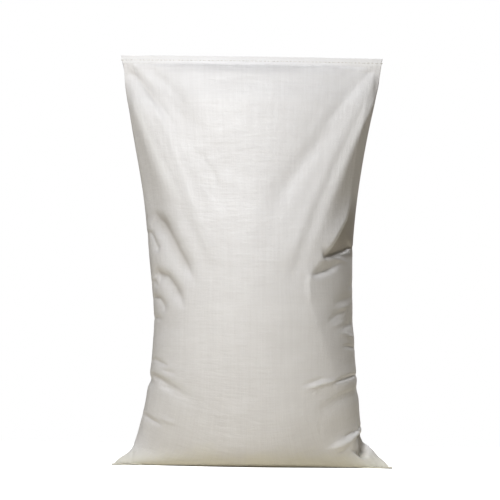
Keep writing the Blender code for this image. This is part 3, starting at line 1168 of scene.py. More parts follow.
@dataclass(frozen=True)
class ThreadFinish:
    """White spun polyester sewing thread: matt, with its ply twisted, and with painted shade along the
    grooves of the twist.
    """

    name: str = "sewing_thread_white"
    colour: Colour = (0.86, 0.85, 0.82, 1.0)
    # Painted shade in the grooves of the twist
    shade: Colour = (0.66, 0.64, 0.60, 1.0)
    dust: Colour = (0.50, 0.45, 0.37, 1.0)
    ply: float = 70.0
    twist: Point3 = (0.3, 0.5, 0.6)
    fuzz: Noise = Noise((900.0, 900.0, 900.0), 2.0, 0.6)
    roughness: float = 0.72
    relief: float = 0.00012

    def material(self) -> bpy.types.Material:
        """Builds the material.

        Returns:
            The finish, on the stitches' own place.
        """
        material, t, shader = Tree.of_material(self.name)
        place = t.add("ShaderNodeTexCoord").outputs["Object"]
        turn = t.first("ShaderNodeMapping", {"Vector": place, "Rotation": self.twist})
        inputs = {"Vector": turn, "Scale": self.ply, "Distortion": 1.0, "Detail": 1.0}
        wave = t.add("ShaderNodeTexWave", inputs).outputs["Fac"]
        fuzz = t.noise(place, self.fuzz)
        tone = t.mixed((wave, 0.6), (fuzz, 0.4))
        dusty = t.first("ShaderNodeGroup", {"Place": place}, node_tree=EffectGroups.floor_dust())
        # Painted shade: darker along the grooves of the twist, where the bump is low, mixed with a random
        # fuzz in tone
        body = t.blend(t.between(tone, 0.2, 0.8), self.shade, self.colour)
        rough = t.between(fuzz, 0.3, 0.7, self.roughness - 0.06, self.roughness + 0.08)
        t.feed(shader.inputs["Base Color"], t.blend(dusty, body, self.dust))
        t.feed(shader.inputs["Roughness"], rough)
        t.feed(shader.inputs["Normal"], t.bump(tone, self.relief))
        return material


@dataclass(frozen=True)
class FloorFinish:
    """A plain pale studio floor with a glow of its own, which throws a warmer light onto the sack."""

    name: str = "pale_floor"
    colour: Colour = (0.97, 0.97, 0.97, 1.0)
    shade: Colour = (0.95, 0.95, 0.95, 1.0)
    bounce: Colour = (0.83, 0.775, 0.645, 1.0)
    glow: float = 1.02
    cloud: Noise = Noise((0.8, 0.8, 0.8), 2.0, 0.5)

    def material(self) -> bpy.types.Material:
        """Builds the material.

        Returns:
            The finish, which glows only where the camera sees it.
        """
        material, t, shader = Tree.of_material(self.name)
        cloud = t.noise(t.add("ShaderNodeTexCoord").outputs["Object"], self.cloud)
        seen = t.add("ShaderNodeLightPath").outputs["Is Camera Ray"]
        pale = t.blend(t.between(cloud, 0.3, 0.7), self.shade, self.colour)
        t.feed(shader.inputs["Base Color"], t.blend(seen, self.bounce, pale))
        t.feed(shader.inputs["Roughness"], t.between(cloud, 0.3, 0.7, 0.75, 0.85))
        shader.inputs["Emission Color"].default_value = self.colour
        t.feed(shader.inputs["Emission Strength"], t.math("MULTIPLY", seen, self.glow))
        return material


def new_object(
    name: str, mesh: bpy.types.Mesh, material: Optional[bpy.types.Material] = None
) -> bpy.types.Object:
    """Puts a mesh into the scene at the origin.

    Args:
        name: the object's name.
        mesh: its mesh.
        material: its finish, if it doesn't have one yet.

    Returns:
        The object.
    """
    obj = bpy.data.objects.new(name, mesh)
    if material is not None:
        mesh.materials.append(material)
    bpy.context.scene.collection.objects.link(obj)
    return obj


def quads(number: Grid) -> Grid:
    """The faces between rows of point numbers, each of which closes round."""
    low, high = number[:-1], number[1:]
    corners = (low, np.roll(low, -1, axis=1), np.roll(high, -1, axis=1), high)
    return np.stack(corners, axis=-1).reshape(-1, 4)


def corner_uvs(around: Grid, along: Grid) -> Grid:
    """Coordinates for the corners of those faces.

    Args:
        around: a value for each column, and one more where the row closes.
        along: a value for each row.

    Returns:
        Two values for each corner.
    """
    u0, v0 = np.meshgrid(around[:-1], along[:-1])
    u1, v1 = np.meshgrid(around[1:], along[1:])
    corners = ((u0, v0), (u1, v0), (u1, v1), (u0, v1))
    return np.stack([np.stack(corner, axis=-1) for corner in corners], axis=2).reshape(-1, 2)


def grid_mesh(name: str, points: Grid, faces: Grid, uvs: Grid) -> bpy.types.Mesh:
    """A smooth mesh of quads with cloth coordinates.

    Args:
        name: the mesh's name.
        points: its points.
        faces: four point numbers to a face.
        uvs: the cloth coordinates of each face's four corners.

    Returns:
        The mesh.
    """
    mesh = bpy.data.meshes.new(name)
    mesh.vertices.add(len(points))
    mesh.vertices.foreach_set("co", points.ravel())
    mesh.loops.add(faces.size)
    mesh.loops.foreach_set("vertex_index", faces.ravel().astype(np.int32))
    mesh.polygons.add(len(faces))
    mesh.polygons.foreach_set("loop_start", np.arange(0, faces.size, 4, dtype=np.int32))
    mesh.uv_layers.new(name=CLOTH_MAP).data.foreach_set("uv", uvs.ravel())
    mesh.polygons.foreach_set("use_smooth", np.ones(len(faces), dtype=bool))
    mesh.update(calc_edges=True)
    mesh.validate()
    return mesh


@dataclass(frozen=True)
class FoldChange:
    """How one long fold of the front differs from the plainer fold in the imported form.

    Each station holds a height, the fold's packed place and seen place as parts of the half width, and its
    packed lift and seen lift. Side is -1 on the left and 1 on the right, and reach is in metres.
    """

    side: int
    reach: float
    stations: tuple[tuple[float, float, float, float, float], ...]

    def lift(self, across: Grid, wide: Grid, height: Grid) -> Grid:
        """How far the cloth moves forward at each place.

        Args:
            across: the place as a part of the half width, from -1 at the left to 1.
            wide: the half width at each place.
            height: the height of each place.

        Returns:
            Metres forward.
        """
        heights, *columns = (np.array(v) for v in zip(*self.stations))
        packed, seen, packed_lift, seen_lift = (np.interp(height, heights, v) for v in columns)
        place = self.side * across
        before = packed_lift * np.exp(-(((place - packed) * wide / self.reach) ** 2))
        after = seen_lift * np.exp(-(((place - seen) * wide / self.reach) ** 2))
        return after - before


@dataclass(frozen=True)
class SideFacet:
    """The facet beside the belly, from its top down as the photo shows it.

    Each station holds a row of the photo, the column where the facet starts, and how many metres the side
    fold is set back there. Side is -1 on the left and 1 on the right, and rounding eases the facet's start.
    """

    side: int
    rounding: float
    stations: tuple[Point3, ...]

    def start(self, rows: Grid) -> Grid:
        """The column where the facet starts, at rows of the photo."""
        tall, starts, _ = zip(*self.stations)
        return np.interp(rows, tall, starts)

    def set_back(self, rows: Grid) -> Grid:
        """How far its fold is set back, at rows of the photo."""
        tall, _, backs = zip(*self.stations)
        return np.interp(rows, tall, backs)

    def eased(self, run: Grid) -> Grid:
        """The way from the facet's start to its fold, from 0 to 1, with a round start."""
        r = self.rounding
        return (np.sqrt(run**2 + r**2) - r) / (math.sqrt(1 + r**2) - r)


LONG_FOLDS: tuple[FoldChange, ...] = (
    FoldChange(-1, 0.030, (
        (0.40, 0.28, 0.40, 0.0, 0.0), (0.45, 0.37, 0.50, 0.0045, 0.0035),
        (0.55, 0.55, 0.70, 0.0080, 0.0060), (0.65, 0.74, 0.83, 0.0085, 0.0070),
        (0.72, 0.87, 0.95, 0.0060, 0.0055), (0.77, 0.95, 0.985, 0.0030, 0.0030),
        (0.79, 1.0, 1.0, 0.0, 0.0),
    )),
    FoldChange(-1, 0.026, (
        (0.40, 0.03, 0.03, 0.0, 0.0), (0.55, 0.22, 0.22, -0.0050, -0.0015),
        (0.65, 0.53, 0.55, -0.0070, -0.0045), (0.72, 0.75, 0.72, -0.0060, -0.0060),
        (0.79, 1.0, 1.0, 0.0, 0.0),
    )),
    FoldChange(1, 0.030, (
        (0.40, 0.28, 0.44, 0.0, 0.0), (0.45, 0.37, 0.56, 0.0045, 0.0040),
        (0.55, 0.55, 0.74, 0.0080, 0.0070), (0.65, 0.74, 0.87, 0.0085, 0.0080),
        (0.72, 0.87, 0.965, 0.0060, 0.0060), (0.77, 0.95, 0.985, 0.0030, 0.0030),
        (0.79, 1.0, 1.0, 0.0, 0.0),
    )),
    FoldChange(1, 0.026, (
        (0.40, 0.03, 0.06, 0.0, 0.0), (0.55, 0.22, 0.30, -0.0050, -0.0050),
        (0.65, 0.53, 0.58, -0.0070, -0.0070), (0.72, 0.75, 0.78, -0.0060, -0.0060),
        (0.79, 1.0, 1.0, 0.0, 0.0),
    )),
)

SIDE_FACETS: tuple[SideFacet, ...] = (
    SideFacet(-1, 0.45, (
        (64, 124, 0.0), (90, 131, 0.002), (110, 137, 0.004), (130, 143, 0.007), (150, 149, 0.010),
        (178, 158, 0.015), (200, 166, 0.019), (216, 174, 0.019), (236, 184, 0.010), (260, 186, 0.005),
        (300, 184, 0.003), (350, 184, 0.0),
    )),
    SideFacet(1, 0.12, (
        (64, 376, 0.0), (100, 366, 0.006), (150, 357, 0.014), (187, 351, 0.026), (202, 349, 0.038),
        (219, 345, 0.050), (232, 338, 0.060), (243, 331, 0.064), (251, 327, 0.060), (259, 320, 0.047),
        (268, 314, 0.034), (280, 311, 0.028), (300, 311, 0.026), (330, 318, 0.020), (360, 330, 0.010),
        (400, 340, 0.0),
    )),
)


@dataclass(frozen=True)
class HemSizes:
    """The two hems of the sack, in metres."""

    top: float = 0.017
    top_step: float = 0.0008
    top_front: float = 0.0012
    top_back: float = 0.0007
    top_edge_radius: float = 0.001
    top_rows: Point3 = (0.0004, 0.001, 0.002)
    top_below: float = 0.0006
    top_held: float = 0.012
    top_held_across: Span = (0.72, 0.90)
    panels_meet: Span = (0.030, 0.060)
    slack: float = 0.0065
    slack_from: float = 0.034
    slack_fade: Span = (0.045, 0.110)
    bottom: float = 0.022
    bottom_thickness: float = 0.0024
    bottom_run_in: Span = (-0.004, 0.001)
    bottom_run_out: float = 0.008


@dataclass
class WovenSack:
    """The woven tube with its filling, and the bottom hem that is folded forward onto the floor.

    The fine grid runs round the tube as the simulated one does. Lengths and heights are in metres. A ridge
    holds heights, and the place there of the long fold's crest as a part of the half width.
    """

    form: SackForm
    view: PhotoView
    cloth: SackCloth
    hems: HemSizes = HemSizes()
    columns: int = 164
    rows: int = 296
    crowding: float = 0.35
    least_row: float = 0.0010
    clear_of_edge: float = 0.0035
    # Below the long folds the zigzag of slack cloth is evened out
    evening: float = 0.6
    evening_fade: Span = (0.50, 0.62)
    # How the outline is fitted, level by level
    levels: int = 204
    outline_reach: tuple[float, float, float] = (0.004, 0.12, 0.013)
    outline_change: Span = (0.85, 1.18)
    outline_turn: float = 0.8
    seam_height: float = 0.006
    # The flat cloth that hangs from the top corners
    flatness: float = 0.7
    flat_from: Span = (0.44, 0.54)
    flat_to: Span = (0.765, 0.79)
    left_ridge: tuple[Point2, ...] = (
        (0.42, 0.40), (0.45, 0.50), (0.50, 0.62), (0.55, 0.70), (0.64, 0.82), (0.73, 0.96), (0.77, 0.985),
    )
    right_ridge: tuple[Point2, ...] = (
        (0.42, 0.50), (0.45, 0.56), (0.55, 0.74), (0.64, 0.86), (0.72, 0.965), (0.77, 0.985),
    )
    # How few pixels wide a facet may be, and how softly the back panel follows a fold that is set back
    least_facet: float = 2.0
    fold_softness: float = 0.25
    # Painted shade in the pocket at the right side: the rows of the photo where it starts and ends, and how
    # far back the fold is set where it starts and where it is full
    pocket_top: Span = (165, 232)
    pocket_floor: Span = (251, 262)
    pocket_depth: Span = (0.008, 0.030)
    # Where the back panel takes over from the front, from 0 in the middle of a panel to 1 at a side fold
    front_wraps: Span = (0.80, 1.0)
    back_fades: Span = (0.85, 1.0)
    fold_ease: Span = (0.96, 1.0)
    # Creases: where they run out, how high a ridge is that wears the cloth in full, how deep a valley is
    # that gets full painted shade, and the most painted shade a valley gets
    crease_top: float = 0.003
    crease_foot: Span = (0.001, 0.012)
    worn_ridge: float = 0.0040
    shaded_valley: float = 0.0155
    most_shade: float = 0.6
    # How the cloth is rounded where it turns round the side folds
    fold_columns: int = 7
    fold_passes: int = 8
    fold_foot: Span = (0.03, 0.06)
    fold_top: Span = (0.02, 0.04)
    points: Grid = field(init=False)
    lines: Grid = field(init=False)
    pocket_shade: Grid = field(init=False)

    def build(self) -> list[bpy.types.Object]:
        """Builds the sack and its bottom hem.

        Returns:
            Both pieces.
        """
        coarse = self.cloth.settle()
        self._refine(self._evened(coarse))
        self._flatten_facets()
        self._fit_outline()
        self._turn_side_folds()
        wear_and_shade = self._crease()
        self._round_side_folds()
        self._lift_over_bottom_hem()
        self._thicken_top_hem()
        return [self._make_sack(wear_and_shade), BottomHem(self.form, self.hems).build()]

    def _evened(self, coarse: Grid) -> Grid:
        """Takes out the zigzag that slack cloth leaves on a coarse grid, below the long folds.

        Args:
            coarse: the settled points.

        Returns:
            The evened points.
        """
        rows = self.cloth.along[:, None, None]
        share = 1 - self.evening * smooth(rows, *self.evening_fade)
        evened = coarse.copy()
        for _ in range(2):
            beside = 0.25 * (np.roll(evened, 1, axis=1) + np.roll(evened, -1, axis=1)) + 0.5 * evened
            above = beside.copy()
            above[1:-1] = 0.25 * (beside[2:] + beside[:-2]) + 0.5 * beside[1:-1]
            above[0], above[-1] = evened[0], evened[-1]
            evened = evened + share * (above - evened)
        return evened

    def _refine(self, coarse: Grid) -> None:
        """Reads the settled cloth on a finer grid, with rows of its own at the top hem.

        Args:
            coarse: the evened points.
        """
        s, hems = self.cloth.settings, self.hems
        drops = np.array([*hems.top_rows, hems.top - hems.top_step, hems.top, hems.top + hems.top_below])
        rows = 1 - drops / s.length
        even = np.linspace(0, 1, self.rows + 1)
        even = even[(even < 1 - self.clear_of_edge / s.length) | (even == 1)]
        even = np.array([v for v in even if v in (0.0, 1.0) or np.abs(v - rows).min() > self.least_row])
        self.lines = np.sort(np.concatenate([even, rows]))
        index, weight = cubic_weights(self.lines * s.rows, s.rows + 1, around=False)
        tall = np.einsum("rkcj,rk->rcj", coarse[index], weight)
        even = np.arange(2 * self.columns) / self.columns
        places = (even - self.crowding * np.sin(2 * math.pi * even) / (2 * math.pi)) * s.columns
        index, weight = cubic_weights(places, 2 * s.columns, around=True)
        self.points = np.einsum("rckj,ck->rcj", tall[:, index], weight)
        self.points[..., 2] = np.clip(self.points[..., 2], 0, self.form.height)

    def _drops(self) -> Grid:
        """How many metres of cloth each row lies below the top edge."""
        return (1 - self.lines) * self.cloth.settings.length

    def _towards_folds(self) -> Grid:
        """For each column, 0 in the middle of a panel and 1 at a side fold."""
        return np.abs(np.cos(math.pi * np.arange(2 * self.columns) / self.columns))

    def _on_back(self) -> Grid:
        """Which columns lie on the back panel, between its side folds."""
        return np.arange(2 * self.columns) > self.columns

    def _fit_outline(self) -> None:
        """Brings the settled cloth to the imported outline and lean, and keeps its lobes and puckers."""
        p = self.points
        z = p[..., 2]
        levels = np.linspace(0, self.form.height, self.levels)
        bin_of = np.clip(np.round(z / levels[1]).astype(int), 0, len(levels) - 1)
        least, growth, most = self.outline_reach
        spread = np.clip(least + growth * levels, least, most)
        kernel = np.exp(-0.5 * ((levels[:, None] - levels[None, :]) / spread[:, None]) ** 2)
        sides = []
        for sign, packed in ((-1, self.form.left), (1, self.form.right)):
            widest = np.full(len(levels), 1e-3)
            np.maximum.at(widest, bin_of.ravel(), (sign * p[..., 0]).ravel())
            widest = np.maximum(widest, 0.5 * np.median(widest))
            wanted = np.interp(levels, self.form.heights, packed)
            ratio = np.clip(wanted / widest, *self.outline_change)
            ratio[0] = 1.0
            sides.append(np.interp(z, levels, kernel @ ratio / kernel.sum(axis=1)))
        turn = smooth(p[..., 0] / self.form.half_width(z), -self.outline_turn, self.outline_turn)
        scale = sides[0] * (1 - turn) + sides[1] * turn
        p[..., 0] *= 1 + (scale - 1) * smooth(z, 0.0, self.seam_height)
        p[..., 0] -= self.form.lean * z

    def _flatten_facets(self) -> None:
        """Draws the cloth flat between the long folds and the side folds, as it hangs from a corner."""
        p = self.points
        z = p[..., 2]
        wide = self.form.half_width(z)
        across = p[..., 0] / wide
        front = np.arange(1, self.columns)
        for change in LONG_FOLDS:
            p[:, front, 1] -= change.lift(across[:, front], wide[:, front], z[:, front])
        for first, turn, last_ridge in ((0, 1, self.right_ridge), (self.columns, -1, self.left_ridge)):
            columns = np.arange(first, first + self.columns + 1) % (2 * self.columns)
            for row in range(len(p)):
                place, depth = turn * across[row, columns], p[row, columns, 1]
                ridges = (self.left_ridge, last_ridge)
                p[row, columns, 1] = self._drawn_flat(place, depth, z[row, columns], ridges)

    def _drawn_flat(
        self, place: Grid, depth: Grid, height: Grid, ridges: Sequence[Sequence[Point2]]
    ) -> Grid:
        """Draws one row of a panel flat at both sides.

        Args:
            place: where its points lie, from -1 at the first side fold to 1 at the other.
            depth: their depths.
            height: their heights.
            ridges: the crest of the long fold on each side.

        Returns:
            Their new depths.
        """
        share = self.flatness * smooth(height, *self.flat_from) * (1 - smooth(height, *self.flat_to))
        for sign, edge, places in ((-1, 0, ridges[0]), (1, -1, ridges[1])):
            ridge = np.interp(height, *zip(*places))
            top = np.interp(ridge, sign * place[::sign], depth[::sign])
            run = np.clip((sign * place - ridge) / (1 - ridge), 0, 1)
            chord = top + (depth[edge] - top) * run
            depth = depth + share * smooth(run, 0.0, 0.8) * (chord - depth)
        return depth

    def _turn_side_folds(self) -> None:
        """Sets the side folds back, so that the facets beside the belly face sideways, and marks painted
        shade for the pocket at the right side.
        """
        p = self.points
        self.pocket_shade = np.zeros(p.shape[:2])
        pixels = self.view.to_pixels(p)
        tall = pixels[..., 1]
        join = 1 - smooth(self._towards_folds(), *self.back_fades)
        for facet in SIDE_FACETS:
            side = facet.side
            fold = slice(0, 1) if side < 0 else slice(self.columns, self.columns + 1)
            back = facet.set_back(tall)
            width = np.maximum(side * (pixels[:, fold, 0] - facet.start(tall)), self.least_facet)
            run = facet.eased(np.clip(side * (pixels[..., 0] - facet.start(tall)) / width, 0, 1))
            run[:, self.columns + 1 :] = 0
            behind = self._on_back() & (side * p[..., 0] > 0)
            depth = p[..., 1]
            fold_back = facet.set_back(tall[:, fold])
            limit = depth[:, fold] + fold_back
            soft = self.fold_softness * fold_back * join
            held = 0.5 * (depth + limit + np.sqrt((depth - limit) ** 2 + soft**2))
            p[..., 1] = np.where(behind, held, depth + back * run)
            # Painted shade for the pocket at the right side: darker where the fold is set back deep,
            # between the pocket's top and floor rows
            dim = smooth(back, *self.pocket_depth) * smooth(run, 0.0, 0.2)
            dim *= smooth(tall, *self.pocket_top) * (1 - smooth(tall, *self.pocket_floor))
            self.pocket_shade = np.maximum(self.pocket_shade, np.where(behind, 0, dim))

    def _normals(self) -> Grid:
        """Which way the cloth faces at each point of the fine grid.

        Returns:
            Outward normals with length one.
        """
        p = self.points
        across = np.roll(p, -1, axis=1) - np.roll(p, 1, axis=1)
        up = np.gradient(p, axis=0)
        return unit(np.cross(across, up))

    def _crease(self) -> Grid:
        """Presses the creases of the photo into the cloth.

        Returns:
            For the finish: above 0 where the cloth is worn, and below 0 where it is soiled.
        """
        across, on_back = self._towards_folds(), self._on_back()
        moved = np.zeros(self.points.shape[:2])
        for creases, turn, share in (
            (FRONT_CREASES, (1, 1, 1), np.where(on_back, smooth(across, *self.front_wraps), 1.0)),
            (BACK_CREASES, (-1, -1, 1), np.where(on_back, 1 - smooth(across, *self.back_fades), 0.0)),
        ):
            pixels = self.view.to_pixels(self.points * np.array(turn))
            for crease in creases:
                moved += share * crease.displacement(pixels)
        moved *= smooth(self._drops(), self.crease_top, self.hems.top)[:, None]
        moved *= smooth(self.points[..., 2], *self.crease_foot)
        moved *= 1 - 0.5 * smooth(across, *self.fold_ease)
        self.points += self._normals() * moved[..., None]
        # Ridges above 0 for wear; valleys below 0 and the pocket down to -1 for painted shade
        full = np.where(moved > 0, self.worn_ridge, self.shaded_valley)
        return np.clip(moved / full, -self.most_shade, 1) * (1 - self.pocket_shade) - self.pocket_shade

    def _round_side_folds(self) -> None:
        """Rounds the cloth off where it turns round the side folds, except at both hems."""
        below_hem = smooth(self._drops(), *self.fold_top)[:, None]
        for fold in (0, self.columns):
            near = (fold + np.arange(-self.fold_columns, self.fold_columns + 1)) % (2 * self.columns)
            strip = self.points[:, near]
            share = 0.5 * smooth(strip[..., 2], *self.fold_foot) * below_hem
            for _ in range(self.fold_passes):
                between = 0.5 * (strip[:, 2:] + strip[:, :-2])
                strip[:, 1:-1] += share[:, 1:-1, None] * (between - strip[:, 1:-1])
            self.points[:, near] = strip

    def _lift_over_bottom_hem(self) -> None:
        """Makes room for the bottom hem, which lies under the front of the sack."""
        p, hems = self.points, self.hems
        ahead = self.form.seam(p[..., 0]) - p[..., 1]
        over = smooth(ahead, *hems.bottom_run_in)
        over = over * (1 - smooth(ahead, hems.bottom, hems.bottom + hems.bottom_run_out))
        p[1:, :, 2] = np.maximum(p[1:, :, 2], over[1:] * hems.bottom_thickness)

    def _thicken_top_hem(self) -> None:
        """Gives the top hem its thickness and the step at its lower edge, and keeps the panels apart."""
        p, hems = self.points, self.hems
        drop = self._drops()[:, None]
        front = np.arange(1, self.columns)
        back = 2 * self.columns - front
        t = np.abs(2 * front / self.columns - 1)[None, :]
        middle = 0.5 * (p[:, front, 1] + p[:, back, 1])
        edge = np.sqrt(np.clip(1 - (1 - np.clip(drop / hems.top_edge_radius, 0, 1)) ** 2, 0, 1))
        near = edge * np.sqrt(np.clip(1 - t**10, 0, 1)) * (1 - smooth(drop, *hems.panels_meet))
        held = 1 - smooth(drop, hems.top, hems.top + hems.top_held)
        held = held * (1 - smooth(t, *hems.top_held_across))
        fold = 1 - smooth(drop, hems.top - hems.top_step, hems.top)
        slack = hems.slack * smooth(drop, hems.top, hems.slack_from) * (1 - smooth(drop, *hems.slack_fade))
        slack = slack * (1 - t**4)
        ahead = middle - (hems.top_back + (hems.top_front - hems.top_back) * fold) * near
        behind = middle + hems.top_back * near
        for columns, limit, pick, sign in ((front, ahead, np.minimum, 1), (back, behind, np.maximum, -1)):
            depth = pick(p[:, columns, 1] + sign * slack, limit)
            p[:, columns, 1] = depth + held * (limit - depth)

    def _make_sack(self, wear_and_shade: Grid) -> bpy.types.Object:
        """Joins the grid to a closed mesh.

        Args:
            wear_and_shade: where wear whitens the cloth, and where painted shade darkens it.

        Returns:
            The sack.
        """
        rows, count = self.points.shape[:2]
        number = np.arange(rows * count).reshape(rows, count)
        partner = (2 * self.columns - np.arange(count)) % count
        behind = self._on_back()
        for row in (0, rows - 1):
            number[row, behind] = number[row, partner[behind]]
        used, compact = np.unique(number, return_inverse=True)
        faces = quads(compact.reshape(rows, count))
        step = 2 * self.form.half_seam / self.columns
        uvs = corner_uvs(np.arange(count + 1) * step, self.lines * self.cloth.settings.length)
        name = "woven_sack_cloth"
        mesh = grid_mesh(name, self.points.reshape(-1, 3)[used], faces, uvs)
        doubled = 1 - smooth(self._drops(), self.hems.top - self.hems.top_step, self.hems.top)
        layers = np.repeat(doubled[:, None], count, axis=1)
        for mask, values in ((WEAR_AND_SHADE_MASK, wear_and_shade), (LAYER_MASK, layers)):
            mesh.attributes.new(mask, "FLOAT", "POINT").data.foreach_set("value", values.ravel()[used])
        sack = new_object(name, mesh, WovenFinish("woven_polypropylene_panel").material())
        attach(sack, BODY)
        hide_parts(SACK_NODE)
        return sack


@dataclass
class BottomHem:
    """The hem below the bottom seam: folded forward, pressed flat by the sack, and free at both corners."""

    form: SackForm
    hems: HemSizes
    stations: int = 180
    around: int = 14
    seed: int = 23
    wave_lengths: tuple[float, ...] = (0.031, 0.047, 0.083)
    wave_sizes: Span = (0.4, 1.0)
    free_span: Span = (0.19, 0.25)
    edge_wave: float = 0.0010
    thickness_wave: float = 0.06
    pressed: float = 0.80
    free_lift: float = 0.0012
    behind_seam: float = 0.0006
    roundness: Span = (0.35, 0.5)
    finish: WovenFinish = WovenFinish("woven_polypropylene_hem", dust_amount=0.6, relief=0.00010)

    def build(self) -> bpy.types.Object:
        """Builds the hem.

        Returns:
            The piece.
        """
        count, around = self.stations + 1, self.around
        x = self.form.half_seam * np.linspace(-1, 1, count)
        edge, thick, lift = self._uneven(x)
        angle = np.linspace(0, 2 * math.pi, around, endpoint=False)
        across, level = (
            np.sign(wave) * np.abs(wave) ** power / 2
            for wave, power in zip((np.cos(angle), np.sin(angle)), self.roundness)
        )
        across, level = 0.5 - across, 0.5 + level
        y = self.form.seam(x)[:, None] + self.behind_seam - across * edge[:, None]
        z = lift[:, None] * across**2 + level * thick[:, None]
        points = np.stack([np.repeat(x[:, None], around, axis=1), y, z], axis=-1).reshape(-1, 3)
        number = np.arange(count * around).reshape(count, around)
        uvs = corner_uvs(np.linspace(0, 2 * self.hems.bottom, around + 1), x)[:, ::-1]
        mesh = grid_mesh("bottom_hem", points, quads(number), uvs)
        self._close_ends(mesh, number)
        hem = new_object("bottom_hem", mesh, self.finish.material())
        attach(hem, BODY)
        return hem

    def _uneven(self, x: Grid) -> tuple[Grid, Grid, Grid]:
        """How the hem varies along the seam.

        Args:
            x: places across the sack.

        Returns:
            Its width, its thickness and how far its edge stands off the floor.
        """
        rng = np.random.default_rng(self.seed)
        waves = sum(
            rng.uniform(*self.wave_sizes) * np.sin(2 * math.pi * x / wave + rng.uniform(0, 6.3))
            for wave in self.wave_lengths
        )
        free = smooth(np.abs(x), *self.free_span)
        edge = self.hems.bottom + self.edge_wave * waves * free
        share = self.pressed + (1 - self.pressed) * free + self.thickness_wave * waves * free
        return edge, self.hems.bottom_thickness * share, self.free_lift * free * (1 + 0.5 * waves)

    @staticmethod
    def _close_ends(mesh: bpy.types.Mesh, number: Grid) -> None:
        """Closes the two ends of a tube and turns its faces outwards.

        Args:
            mesh: the tube.
            number: its point numbers, ring by ring.
        """
        shape = bmesh.new()
        shape.from_mesh(mesh)
        shape.verts.ensure_lookup_table()
        for loop in (number[0], number[-1]):
            shape.faces.new([shape.verts[int(i)] for i in loop]).smooth = True
        bmesh.ops.recalc_face_normals(shape, faces=shape.faces)
        shape.to_mesh(mesh)
        shape.free()


